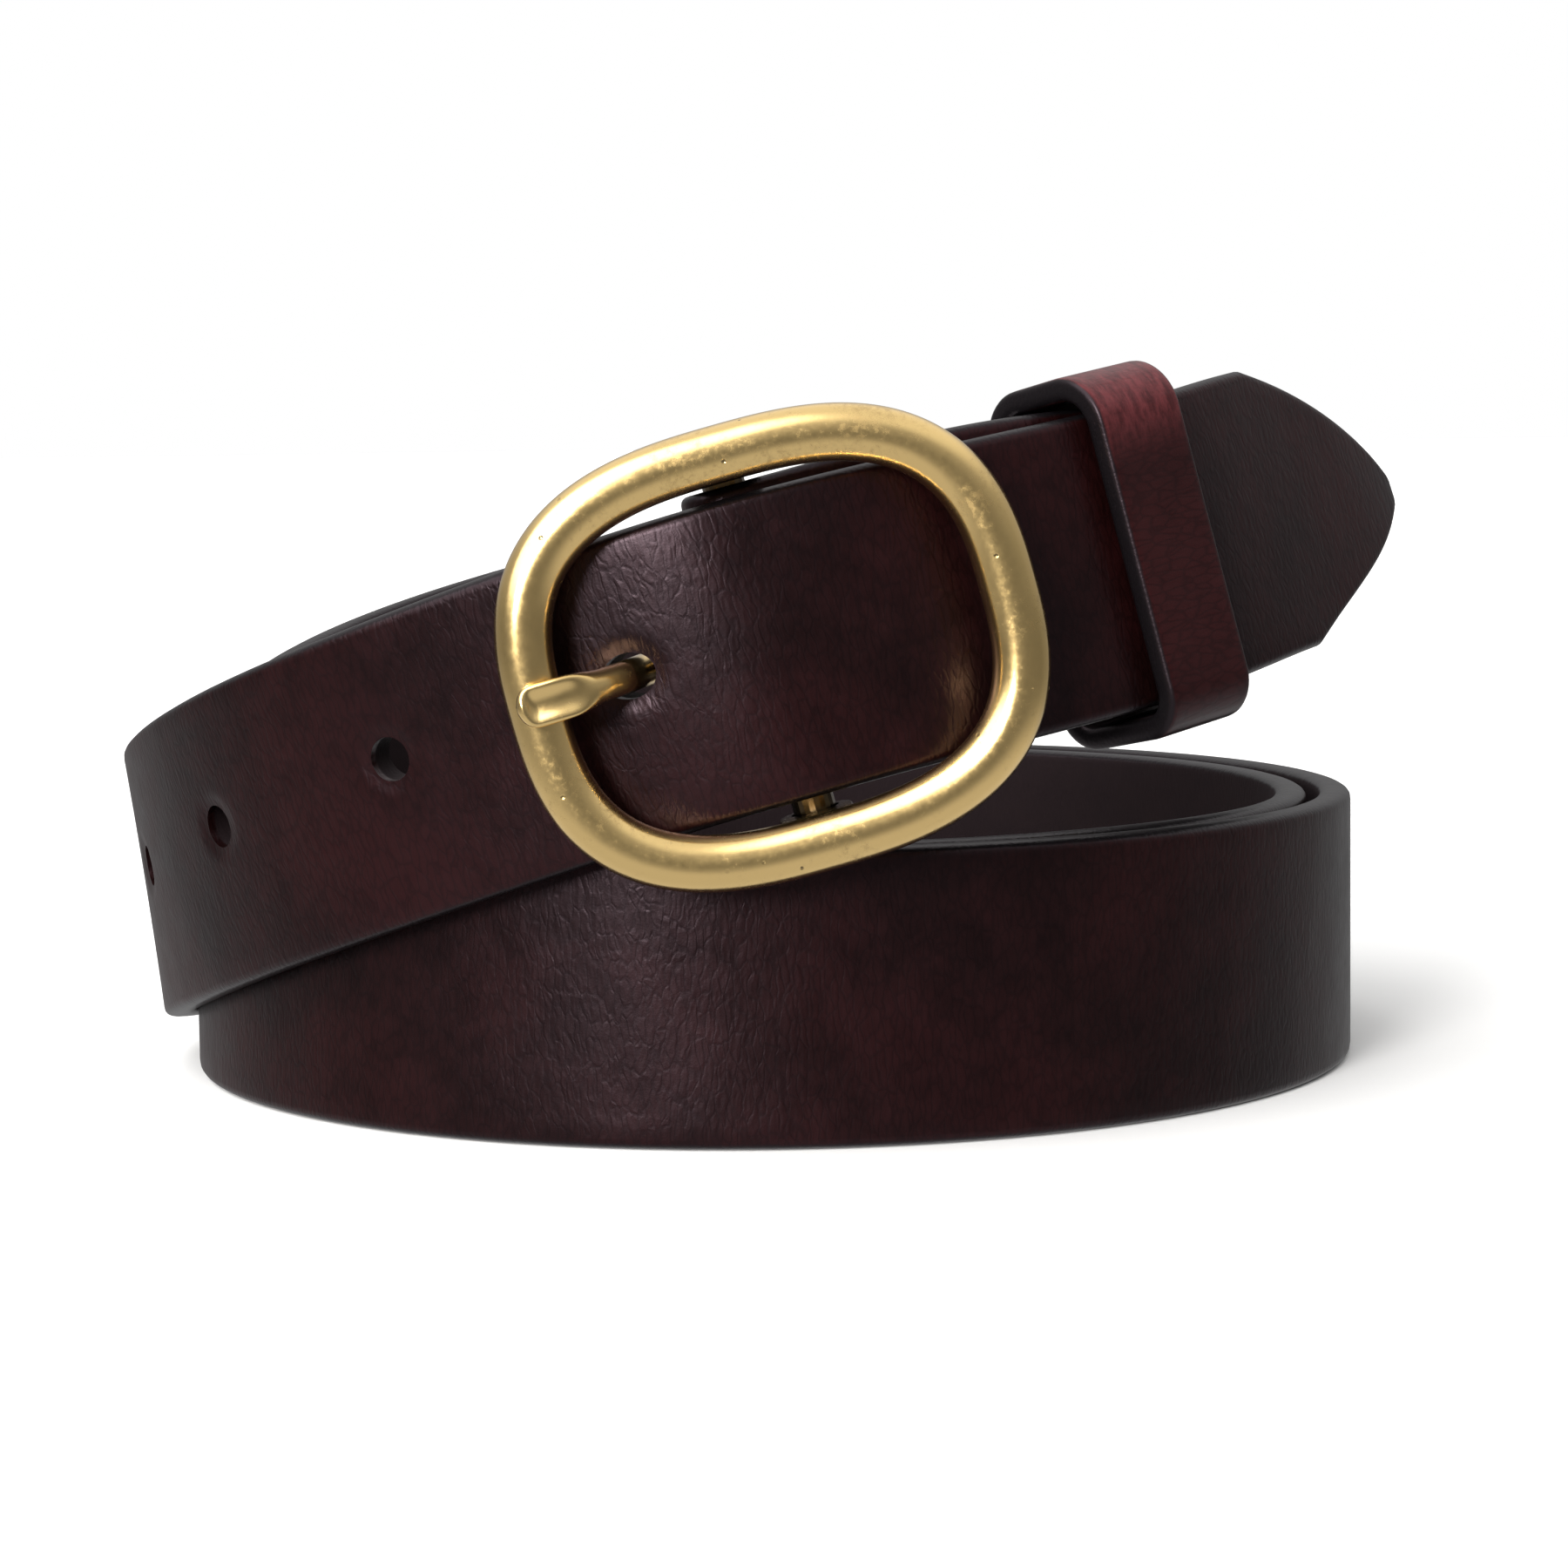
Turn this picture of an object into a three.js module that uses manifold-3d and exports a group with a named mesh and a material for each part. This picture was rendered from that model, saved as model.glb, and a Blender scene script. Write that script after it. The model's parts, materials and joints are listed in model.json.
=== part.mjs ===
// Leather belt, buckled and wound into a three-turn coil that stands on its edge.
// Millimetres, +Z up, buckle towards -Y. The finished belt's origin is the middle of its bounding
// box, on the surface that the belt rests on; the route below is laid out about the coil's middle.
import * as THREE from "three";
import { mergeVertices } from "three/addons/utils/BufferGeometryUtils.js";
import Module from "manifold-3d";

const wasm = await Module();
wasm.setup();

// Strap
const strapWidth = 28;
const strapThickness = 3.4;
const foldThickness = 2; // skived down where it wraps the centre bar, and along the tail
const edgeBevel = 0.6;
const pointLength = 22.5; // tapered end
const pointPower = 0.6; // how its width grows from the nose: 1 is a straight taper, 0.5 a round one
const noseHalfWidth = 1.1;
const tipReach = 82.8; // from the centre bar to the nose of the tapered end
const tailLength = 64; // turned-back end, from the centre bar
const tailCorner = 6; // rounding of the turned-back end
const skiveStart = 9; // distance from the bar where the fold's thickness begins to grow
const skiveEnd = 20;

// Coil
const coilRadius = 52; // middle of the innermost pass
const passGap = 0.4;
const sectionStep = 5; // spacing of the cross sections along the strap
const tipRoom = 0.5; // between the tip and the doubled end behind it

// Adjustment holes
const holeDiameter = 4.2;
const holeOffset = 1.3; // the row of holes lies this far above the strap's middle
const holeCount = 5;
const holePitch = 25.4;
const prongHoleAt = 11.9; // distance of the hole in use from the centre bar

// Buckle
const frameLength = 48.8;
const frameWire = 5.2;
const frameEdgeRoom = 1.4; // between the frame's inner edge and the strap's edge
const frameRoundness = 2.75; // exponent of the superellipse: 2 is an ellipse
const frameClearance = 0.8; // between the frame and the strap below it
const barDiameter = 4;
const barClearance = 0.3;
const lugWidth = 6.4;
const lugThickness = 2.4;
const lugWall = 1.2; // metal around the bore of a lug
const lugInset = 1; // from a rail's centre line in to the middle of its lug

// Prong
const prongDiameter = 3;
const prongEyeWall = 2;
const prongEyeLength = 4;
const paddleThickness = 2.2;
const paddleWidth = 3.9;
const paddleOverhang = 1.6; // past the middle of the side bar
const prongHoleStretch = 5; // the hole in use, along the strap
const prongHoleShift = 0.25; // towards the centre bar, where the prong lifts
const slotWidth = 6; // slot in the fold for the prong's eye
const slotReach = 11; // slot's half length, measured round the fold

// Keeper
const keeperWidth = 10.5;
const keeperThickness = 2.2;
const keeperAt = 39.3; // from the centre bar to the keeper's middle
const keeperTopRoom = 0.8;
const keeperBottomRoom = 0.7;
const keeperFaceRoom = 0.7;
const keeperBackRoom = 0.6;
const keeperJoint = 0.5; // gap between the keeper's butted ends
const stapleWire = 0.9;
const stapleSpan = 7;
const stapleClearance = 0.3;

// Screw sets that hold the fold shut
const screwPlaces = [22, 55]; // distances from the centre bar
const screwHeadDiameter = 9;
const screwHeadThickness = 0.8;
const screwBarrelDiameter = 5;
const screwShankDiameter = 3;
const screwClearance = 0.3;
const screwSink = 1.1; // depth of the pocket for the head of a post
const screwSeat = 0.2; // under that head
const screwSlotWidth = 1;
const screwSlotDepth = 0.5;

const FULL_TURN = 360;
const BUCKLE_TURN = 3 * FULL_TURN; // where the buckle end of the strap meets the buckle again
const UP = new THREE.Vector3(0, 0, 1);

const smooth = (low, high, x) => THREE.MathUtils.smoothstep(x, low, high);

// Natural cubic spline through knots, as a function that gives { value, slope }; straight past its ends.
function naturalSpline(xs, ys) {
  const last = xs.length - 1;
  const bend = new Array(last + 1).fill(0);
  const carry = new Array(last + 1).fill(0);
  for (let i = 1; i < last; i++) {
    const before = xs[i] - xs[i - 1];
    const after = xs[i + 1] - xs[i];
    const share = before / (before + after);
    const pivot = share * carry[i - 1] + 2;
    const kink = (ys[i + 1] - ys[i]) / after - (ys[i] - ys[i - 1]) / before;
    carry[i] = (share - 1) / pivot;
    bend[i] = ((6 * kink) / (before + after) - share * bend[i - 1]) / pivot;
  }
  for (let i = last - 1; i > 0; i--) bend[i] += carry[i] * bend[i + 1];
  return (x) => {
    const inside = THREE.MathUtils.clamp(x, xs[0], xs[last]);
    let k = 0;
    while (k < last - 1 && xs[k + 1] < inside) k++;
    const width = xs[k + 1] - xs[k];
    const b = (inside - xs[k]) / width;
    const a = 1 - b;
    const curve = (a ** 3 - a) * bend[k] + (b ** 3 - b) * bend[k + 1];
    const value = a * ys[k] + b * ys[k + 1] + (curve * width ** 2) / 6;
    const tilt = (3 * b ** 2 - 1) * bend[k + 1] - (3 * a ** 2 - 1) * bend[k];
    const slope = (ys[k + 1] - ys[k]) / width + (tilt * width) / 6;
    return { value: value + slope * (x - inside), slope };
  };
}

// ---- The strap's route -------------------------------------------------------------------------

const passRadius = (count) => coilRadius + count * (strapThickness + passGap);
const outerPass = passRadius(3);
const lowerOuter = passRadius(2);
const lowerInner = passRadius(1);
const atBar = outerPass + 2.5; // the tip strap where it crosses the centre bar
const foldDrop = (strapThickness + foldThickness) / 2 + passGap;
const doubledDrop = strapThickness + tipRoom;

// Stations of the strap's middle line, from the tip round three turns to the centre bar:
// turn in degrees (0 at the buckle, 90 at the left), radius, lift in strap widths, lean in degrees.
const stations = [
  [-75, outerPass + 2.5, 1.61, 22],
  [-56, outerPass - 2.2, 1.58, 19.5],
  [-38, outerPass - 1.1, 1.47, 17],
  [-20, outerPass + 0.4, 1.345, 16],
  [0, atBar, 1.17, 16],
  [22, outerPass + 2.7, 0.89, 16],
  [45, outerPass + 3.0, 0.58, 13],
  [65, outerPass + 2.1, 0.35, 10],
  [90, outerPass + 1.6, 0.15, 6],
  [120, outerPass + 0.9, 0.04, 3],
  [160, outerPass + 0.2, 0, 0],
  [200, outerPass - 1.0, 0, 0],
  [270, lowerOuter + 0.6, 0, 0],
  [360, lowerOuter, 0, 0],
  [450, lowerOuter + 0.3, 0, 0],
  [540, lowerOuter - 2.3, 0, 0],
  [630, lowerInner - 0.4, 0, 0],
  [700, lowerInner, 0, 0],
  [740, lowerInner, 0.02, 1],
  [790, lowerInner, 0.24, 5],
  [850, lowerInner - 1.2, 0.68, 10],
  [900, lowerInner - 2.4, 1.05, 12],
  [950, coilRadius - 0.4, 1.32, 14],
  [990, coilRadius - 1.2, 1.47, 15],
  [1020, coilRadius + 0.8, 1.49, 16],
  [1042, outerPass - 0.9 - doubledDrop, 1.45, 16],
  [1060, outerPass + 0.4 - doubledDrop, 1.385, 16],
  [BUCKLE_TURN, atBar - foldDrop, 1.208, 16],
];
const column = (index) => stations.map((station) => station[index]);
const radiusAt = naturalSpline(column(0), column(1));
const liftAt = naturalSpline(column(0), column(2));
const leanAt = naturalSpline(column(0), column(3));

// The strap's frame at a turn: its middle, the way it runs, across it upwards, and out of its grain side.
function routeFrame(turn) {
  const angle = THREE.MathUtils.degToRad(turn);
  const perRadian = THREE.MathUtils.RAD2DEG;
  const radius = radiusAt(turn);
  const lift = liftAt(turn);
  const grounded = lift.value < 0;
  const outwards = new THREE.Vector3(-Math.sin(angle), -Math.cos(angle), 0);
  const onwards = new THREE.Vector3(-Math.cos(angle), Math.sin(angle), 0);
  const centre = outwards.clone().multiplyScalar(radius.value);
  centre.z = strapWidth * (Math.max(0, lift.value) + 0.5);
  const along = onwards.multiplyScalar(radius.value);
  along.addScaledVector(outwards, radius.slope * perRadian);
  if (!grounded) along.addScaledVector(UP, strapWidth * lift.slope * perRadian);
  along.normalize();
  const lean = THREE.MathUtils.degToRad(leanAt(turn).value);
  const up = new THREE.Vector3(-Math.sin(lean), 0, Math.cos(lean));
  up.addScaledVector(along, -up.dot(along)).normalize();
  return { centre, along, up, out: up.clone().cross(along) };
}

// Lengths along the route, measured from the centre bar at turn 0.
const firstTurn = -150;
const turnStep = 0.5;
const lengths = [];
for (let turn = firstTurn; turn <= BUCKLE_TURN; turn += turnStep) {
  const { centre } = routeFrame(turn);
  const previous = lengths.at(-1);
  const gone = previous ? previous.length + centre.distanceTo(previous.centre) : 0;
  lengths.push({ turn, centre, length: gone });
}
const zeroLength = lengths[-firstTurn / turnStep].length;
const routeEnd = lengths.at(-1).length - zeroLength;

function turnAtLength(length) {
  const wanted = length + zeroLength;
  let high = lengths.findIndex((entry) => entry.length >= wanted);
  if (high < 1) high = lengths.length - 1;
  const a = lengths[high - 1];
  const b = lengths[high];
  return a.turn + (turnStep * (wanted - a.length)) / (b.length - a.length);
}
const frameAtLength = (length) => routeFrame(turnAtLength(length));

// The strap's frame at one of its adjustment holes.
function holeFrame(length) {
  const frame = frameAtLength(length);
  frame.centre.addScaledVector(frame.up, holeOffset);
  return frame;
}

// ---- Solids ------------------------------------------------------------------------------------

// A closed solid skinned over rings of points, each ring with the same count of points.
function skin(rings, closed = false) {
  const count = rings[0].length;
  const index = [];
  const spans = closed ? rings.length : rings.length - 1;
  for (let i = 0; i < spans; i++) {
    const here = i * count;
    const next = ((i + 1) % rings.length) * count;
    for (let j = 0; j < count; j++) {
      const k = (j + 1) % count;
      index.push(here + j, here + k, next + j, here + k, next + k, next + j);
    }
  }
  if (!closed) {
    const far = (rings.length - 1) * count;
    for (let j = 1; j < count - 1; j++) {
      index.push(0, j + 1, j, far, far + j, far + j + 1);
    }
  }
  const geometry = new THREE.BufferGeometry().setFromPoints(rings.flat());
  return geometry.setIndex(index);
}

function toSolid(geometry) {
  const bare = geometry.clone();
  bare.deleteAttribute("normal");
  bare.deleteAttribute("uv");
  const merged = mergeVertices(bare, 1e-4);
  return new wasm.Manifold(
    new wasm.Mesh({
      numProp: 3,
      vertProperties: new Float32Array(merged.attributes.position.array),
      triVerts: new Uint32Array(merged.index.array),
    }),
  );
}

function toGeometry(solid) {
  const { vertProperties, triVerts, numProp } = solid.getMesh();
  const geometry = new THREE.BufferGeometry();
  geometry.setAttribute("position", new THREE.BufferAttribute(vertProperties, numProp));
  geometry.setIndex(new THREE.BufferAttribute(triVerts, 1));
  geometry.computeVertexNormals();
  return geometry;
}

const cut = (solid, tools) => tools.reduce((rest, tool) => rest.subtract(toSolid(tool)), solid);

// The matrix of a frame whose x runs to the buckle's right, y up across the strap, z out of its grain.
function frameMatrix({ along, up, out, centre }) {
  const right = along.clone().negate();
  return new THREE.Matrix4().makeBasis(right, up, out).setPosition(centre);
}

// ---- Strap -------------------------------------------------------------------------------------

// Bevelled rectangle across a frame, thickness measured about its middle.
function strapRing({ centre, up, out }, halfWidth, thickness) {
  const half = thickness / 2;
  const bevel = Math.min(edgeBevel, halfWidth / 3);
  const outline = [
    [halfWidth - bevel, half],
    [halfWidth, half - bevel],
    [halfWidth, bevel - half],
    [halfWidth - bevel, -half],
    [bevel - halfWidth, -half],
    [-halfWidth, bevel - half],
    [-halfWidth, half - bevel],
    [bevel - halfWidth, half],
  ];
  return outline.map(([across, off]) =>
    centre.clone().addScaledVector(up, across).addScaledVector(out, off),
  );
}

// Half width of the tapered end at a distance from its nose.
function pointHalfWidth(fromNose) {
  const taper = (fromNose / pointLength) ** pointPower;
  return Math.max(noseHalfWidth, (strapWidth / 2) * taper);
}

// Half width of the turned-back end at a distance from its cut edge.
function tailHalfWidth(fromEnd) {
  const inset = Math.max(0, tailCorner - fromEnd);
  return strapWidth / 2 - tailCorner + Math.sqrt(tailCorner ** 2 - inset ** 2);
}

// The buckle's own frame: x to the right along the strap, y along the centre bar, z outwards.
// Its x follows the strap between the frame's two side bars, and the fold turns about its y.
const sideBarReach = frameLength / 2 - frameWire / 2;
const foldRadius = barDiameter / 2 + barClearance + foldThickness / 2;
const tipAtBar = routeFrame(0);
const right = frameAtLength(-sideBarReach).centre.sub(frameAtLength(sideBarReach).centre).normalize();
const barUp = tipAtBar.up.clone().addScaledVector(right, -tipAtBar.up.dot(right)).normalize();
const barOut = right.clone().cross(barUp);
const foldStart = routeFrame(BUCKLE_TURN).centre;
const foldCentre = foldStart.clone().addScaledVector(barOut, -foldRadius);
const foldOffset = tipAtBar.centre.clone().sub(foldCentre).dot(barUp);
const barCentre = foldCentre.clone().addScaledVector(barUp, foldOffset);
const buckleMatrix = new THREE.Matrix4().makeBasis(right, barUp, barOut).setPosition(barCentre);
const intoBuckle = buckleMatrix.clone().invert();
const holeLocal = holeFrame(prongHoleAt).centre.applyMatrix4(intoBuckle);

const doubledGap = (strapThickness + foldThickness) / 2 + passGap;
const strapThicknessNear = (fromBar) =>
  foldThickness + (strapThickness - foldThickness) * smooth(skiveStart, skiveEnd, fromBar);

// Frame of the doubled end at a distance from the centre bar, squared up to the bar as it nears it.
function doubledFrame(fromBar) {
  const { centre, along, up, out } = frameAtLength(routeEnd - fromBar);
  const share = 1 - smooth(0, skiveEnd, fromBar);
  const squareUp = up.lerp(barUp, share).normalize();
  const squareOut = out.lerp(barOut, share);
  squareOut.addScaledVector(squareUp, -squareOut.dot(squareUp)).normalize();
  return { centre, along, up: squareUp, out: squareOut };
}

// Section of the fold at an angle round the centre bar, 0 on the outside and 180 inside.
function foldFrame(degrees) {
  const angle = THREE.MathUtils.degToRad(degrees);
  const out = barOut.clone().multiplyScalar(Math.cos(angle));
  out.addScaledVector(right, -Math.sin(angle));
  const centre = foldCentre.clone().addScaledVector(out, foldRadius);
  return { centre, up: barUp, out };
}

// Section of the tail at a distance back from the centre bar: under the doubled end, closing up to it.
function tailFrame(fromBar) {
  const above = doubledFrame(fromBar);
  const closing = smooth(0, skiveStart + barDiameter, fromBar);
  const drop = THREE.MathUtils.lerp(2 * foldRadius, doubledGap, closing);
  const centre = above.centre.clone().addScaledVector(above.out, -drop);
  return { centre, up: above.up, out: above.out.clone().negate() };
}

// Distances from a first to a last value in even steps near the wanted size.
function evenSteps(first, last, size) {
  const count = Math.ceil(Math.abs(last - first) / size);
  return Array.from({ length: count + 1 }, (_, i) => first + ((last - first) * i) / count);
}

function strapRings() {
  const rings = [];
  const noseSteps = 12;
  for (let i = 0; i < noseSteps; i++) {
    const fromNose = pointLength * (i / noseSteps) ** 2;
    rings.push(strapRing(frameAtLength(fromNose - tipReach), pointHalfWidth(fromNose), strapThickness));
  }
  const bodyEnd = routeEnd - skiveEnd;
  for (const length of evenSteps(pointLength - tipReach, bodyEnd, sectionStep)) {
    rings.push(strapRing(frameAtLength(length), strapWidth / 2, strapThickness));
  }
  for (const fromBar of evenSteps(skiveEnd, 0, sectionStep / 2).slice(1, -1)) {
    rings.push(strapRing(doubledFrame(fromBar), strapWidth / 2, strapThicknessNear(fromBar)));
  }
  for (const degrees of evenSteps(0, 180, 18)) {
    rings.push(strapRing(foldFrame(degrees), strapWidth / 2, foldThickness));
  }
  const tailSteps = evenSteps(0, tailLength - tailCorner, sectionStep / 2).slice(1);
  const cornerSteps = evenSteps(0, 90, 15).slice(1);
  const corner = cornerSteps.map((d) => tailLength - tailCorner * (1 - Math.sin((d * Math.PI) / 180)));
  for (const fromBar of [...tailSteps, ...corner]) {
    rings.push(strapRing(tailFrame(fromBar), tailHalfWidth(tailLength - fromBar), foldThickness));
  }
  return rings;
}

// A round cutter through the strap at a frame, reaching a little past both faces.
function holeCutter(frame, diameter, depth) {
  const cutter = new THREE.CylinderGeometry(diameter / 2, diameter / 2, depth, 16);
  cutter.rotateX(Math.PI / 2);
  return cutter.applyMatrix4(frameMatrix(frame));
}

// The slot in the fold: the strap's own sweep round the bar, narrower and a little thicker,
// in line with the prong.
function slotRing({ centre, up, out }) {
  const middle = centre.clone().addScaledVector(up, foldOffset + holeLocal.y);
  return strapRing({ centre: middle, up, out }, slotWidth / 2, foldThickness + passGap);
}

function slotCutter() {
  const turned = Math.PI * foldRadius;
  const leg = slotReach - turned / 2;
  const rings = [];
  for (const fromBar of evenSteps(leg, 0, 2).slice(0, -1)) {
    rings.push(slotRing(doubledFrame(fromBar)));
  }
  for (const degrees of evenSteps(0, 180, 18)) {
    rings.push(slotRing(foldFrame(degrees)));
  }
  for (const fromBar of evenSteps(0, leg, 2).slice(1)) {
    rings.push(slotRing(tailFrame(fromBar)));
  }
  return skin(rings);
}

// ---- Buckle ------------------------------------------------------------------------------------

// Height of the strap's grain face above the centre bar's middle, at a length along the strap.
function faceHeight(length) {
  const { centre, out } = frameAtLength(length);
  const face = centre.clone().addScaledVector(out, strapThickness / 2);
  return face.applyMatrix4(intoBuckle).z;
}

// Middle line of the frame: a superellipse in the buckle's x and y.
const frameHalfHeight = strapWidth / 2 + frameEdgeRoom + frameWire / 2;
function frameLine(angle) {
  const power = 2 / frameRoundness;
  const bulge = (wave) => Math.sign(wave) * Math.abs(wave) ** power;
  const x = sideBarReach * bulge(Math.cos(angle));
  const y = frameHalfHeight * bulge(Math.sin(angle));
  return new THREE.Vector3(x, y, 0);
}

// The frame lies as low as the strap under its side bars and corners lets it.
const frameSteps = 56;
const frameStep = (2 * Math.PI) / frameSteps;
const frameAngles = Array.from({ length: frameSteps }, (_, i) => (i + 0.5) * frameStep);
const isOverStrap = (point) => Math.abs(point.y) < strapWidth / 2 + frameEdgeRoom;
const overStrap = frameAngles.map(frameLine).filter(isOverStrap);
const highestFace = Math.max(...overStrap.map((point) => faceHeight(-point.x)));
const frameHeight = highestFace + frameClearance + frameWire / 2;

function frameRing() {
  const sides = 12;
  const rings = [];
  for (const angle of frameAngles) {
    const here = frameLine(angle);
    const nudge = frameStep / 10;
    const along = frameLine(angle + nudge).sub(frameLine(angle - nudge)).normalize();
    const outward = along.clone().cross(UP);
    const ring = [];
    for (let j = 0; j < sides; j++) {
      const turn = (j * 2 * Math.PI) / sides;
      const point = here.clone().addScaledVector(outward, (frameWire / 2) * Math.cos(turn));
      ring.push(point.addScaledVector(UP, frameHeight - (frameWire / 2) * Math.sin(turn)));
    }
    rings.push(ring);
  }
  return skin(rings, true);
}

const lugMiddle = frameHalfHeight - lugInset;
const barLength = 2 * lugMiddle + lugThickness;
const boreRadius = barDiameter / 2 + barClearance;

// A lug hangs from a rail and holds one end of the centre bar: a plate with a round lower end.
function lug(side) {
  const radius = boreRadius + lugWall;
  const half = lugWidth / 2;
  const outline = new THREE.Shape();
  outline.moveTo(half, frameHeight);
  outline.lineTo(-half, frameHeight);
  outline.lineTo(-radius, 0);
  outline.absarc(0, 0, radius, Math.PI, 2 * Math.PI, false);
  outline.closePath();
  const plate = new THREE.ExtrudeGeometry(outline, {
    depth: lugThickness,
    bevelEnabled: false,
    curveSegments: 12,
  });
  plate.translate(0, 0, -lugThickness / 2);
  plate.rotateX(Math.PI / 2);
  return plate.translate(0, side * lugMiddle, 0);
}

function buckleFrameGeometry() {
  const joined = toSolid(frameRing()).add(toSolid(lug(1))).add(toSolid(lug(-1)));
  const bore = new THREE.CylinderGeometry(boreRadius, boreRadius, barLength + 2, 24);
  return toGeometry(cut(joined, [bore]));
}

// ---- Prong -------------------------------------------------------------------------------------

const prongRise = THREE.MathUtils.degToRad(60); // slope of the prong where it passes the strap
const paddleHeight = frameHeight + (frameWire + paddleThickness) / 2 + barClearance;
const prongRadius = prongDiameter / 2;
const prongLead = 0.6; // straight part of the prong past each face of the strap
const prongBend = 3.2; // run of the bends either side of that straight part
const prongBendRise = 2;

// Middle line of the prong in the buckle's frame, from its eye up through the strap to the paddle.
function prongCurve() {
  const rise = strapThickness / 2 + prongLead;
  const run = rise / Math.tan(prongRise);
  const points = [
    [-(boreRadius + prongEyeWall / 2), barClearance],
    [holeLocal.x + run + prongBend, holeLocal.z - rise - prongBendRise],
    [holeLocal.x + run, holeLocal.z - rise],
    [holeLocal.x - run, holeLocal.z + rise],
    [holeLocal.x - run - prongBend, paddleHeight - prongBendRise],
    [prongBend - sideBarReach, paddleHeight - barClearance],
    [-sideBarReach, paddleHeight],
    [-sideBarReach - paddleOverhang, paddleHeight],
  ];
  return new THREE.CatmullRomCurve3(points.map(([x, z]) => new THREE.Vector3(x, holeLocal.y, z)));
}

function prongShank() {
  const curve = prongCurve();
  const steps = 26;
  const sides = 12;
  const rings = [];
  for (let i = 0; i <= steps; i++) {
    const share = i / steps;
    const centre = curve.getPointAt(share);
    const along = curve.getTangentAt(share);
    const over = along.clone().cross(new THREE.Vector3(0, 1, 0)).normalize();
    const flat = smooth(0.72, 0.9, share);
    const nose = 1 - 0.45 * smooth(0.93, 1, share);
    const halfWide = THREE.MathUtils.lerp(prongRadius, paddleWidth / 2, flat) * nose;
    const halfThick = THREE.MathUtils.lerp(prongRadius, paddleThickness / 2, flat) * nose;
    const ring = [];
    for (let j = 0; j < sides; j++) {
      const turn = (j * 2 * Math.PI) / sides;
      const point = centre.clone().addScaledVector(over, halfThick * Math.sin(turn));
      point.y += halfWide * Math.cos(turn);
      ring.push(point);
    }
    rings.push(ring);
  }
  return skin(rings);
}

function prongGeometry() {
  const outer = boreRadius + prongEyeWall;
  const half = prongEyeLength / 2;
  const profile = [
    [boreRadius, -half],
    [outer, -half],
    [outer, half],
    [boreRadius, half],
    [boreRadius, -half],
  ];
  const eye = new THREE.LatheGeometry(profile.map(([r, y]) => new THREE.Vector2(r, y + holeLocal.y)), 24);
  const bore = new THREE.CylinderGeometry(boreRadius, boreRadius, prongEyeLength + 4, 24);
  return toGeometry(cut(toSolid(eye).add(toSolid(prongShank())), [bore]));
}

// The hole in use is stretched along the strap and follows the slope of the prong that passes it.
function prongHoleCutter() {
  const cutter = new THREE.CylinderGeometry(1, 1, strapThickness * 2.4, 20);
  cutter.scale(prongHoleStretch / 2, 1, holeDiameter / 2);
  const onwards = new THREE.Vector3(-Math.cos(prongRise), 0, Math.sin(prongRise));
  const sideways = new THREE.Vector3(Math.sin(prongRise), 0, Math.cos(prongRise));
  const slanted = new THREE.Matrix4().makeBasis(sideways, onwards, sideways.clone().cross(onwards));
  cutter.applyMatrix4(slanted);
  cutter.translate(holeLocal.x + prongHoleShift, holeLocal.y, holeLocal.z);
  return cutter.applyMatrix4(buckleMatrix);
}

// ---- Screw sets --------------------------------------------------------------------------------

// Each set's own frame: z out of the grain, origin in the middle of the doubled end's outer layer.
const outerFace = strapThickness / 2;
const innerFace = -(outerFace + passGap + foldThickness);
const postBore = screwShankDiameter / 2 + screwClearance;
const postUnder = outerFace - screwSink + screwSeat; // underside of a post's head

function turned(profile) {
  const lathe = new THREE.LatheGeometry(profile.map(([r, y]) => new THREE.Vector2(r, y)), 24);
  return lathe.rotateX(Math.PI / 2);
}

function screwPostGeometry() {
  const headTop = postUnder + screwHeadThickness;
  return turned([
    [0, postUnder],
    [postBore, postUnder],
    [postBore, innerFace],
    [screwBarrelDiameter / 2, innerFace],
    [screwBarrelDiameter / 2, postUnder],
    [screwHeadDiameter / 2, postUnder],
    [screwHeadDiameter / 2, headTop],
    [0, headTop],
  ]);
}

function foldScrewGeometry() {
  const headTop = innerFace - screwClearance;
  const headBottom = headTop - screwHeadThickness;
  const screw = turned([
    [0, headBottom],
    [screwHeadDiameter / 2, headBottom],
    [screwHeadDiameter / 2, headTop],
    [screwShankDiameter / 2, headTop],
    [screwShankDiameter / 2, postUnder - screwClearance],
    [0, postUnder - screwClearance],
  ]);
  const slot = new THREE.BoxGeometry(screwSlotWidth, screwHeadDiameter + 1, 2 * screwSlotDepth);
  slot.translate(0, 0, headBottom);
  return toGeometry(cut(toSolid(screw), [slot]));
}

// A round cutter for a screw set at a distance from the bar, between two heights in the set's frame.
function screwCutter(fromBar, diameter, low, high) {
  const frame = frameAtLength(routeEnd - fromBar);
  const centre = frame.centre.clone().addScaledVector(frame.out, (low + high) / 2);
  return holeCutter({ ...frame, centre }, diameter + 2 * screwClearance, high - low);
}

// The hole for a screw's barrel through both layers of the fold, and the pocket for its head.
function screwHoleCutters(fromBar) {
  const past = passGap / 4; // how far a cutter reaches past a face
  const barrel = screwCutter(fromBar, screwBarrelDiameter, innerFace - past, outerFace + past);
  const pocket = screwCutter(fromBar, screwHeadDiameter, outerFace - screwSink, outerFace + past);
  return [barrel, pocket];
}

function strapGeometry() {
  const holes = [];
  for (let i = 1; i < holeCount; i++) {
    const frame = holeFrame(prongHoleAt + i * holePitch);
    holes.push(holeCutter(frame, holeDiameter, strapThickness + passGap));
  }
  const tools = [...holes, prongHoleCutter(), slotCutter(), ...screwPlaces.flatMap(screwHoleCutters)];
  return toGeometry(cut(toSolid(skin(strapRings())), tools));
}

// ---- Keeper ------------------------------------------------------------------------------------

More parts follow.
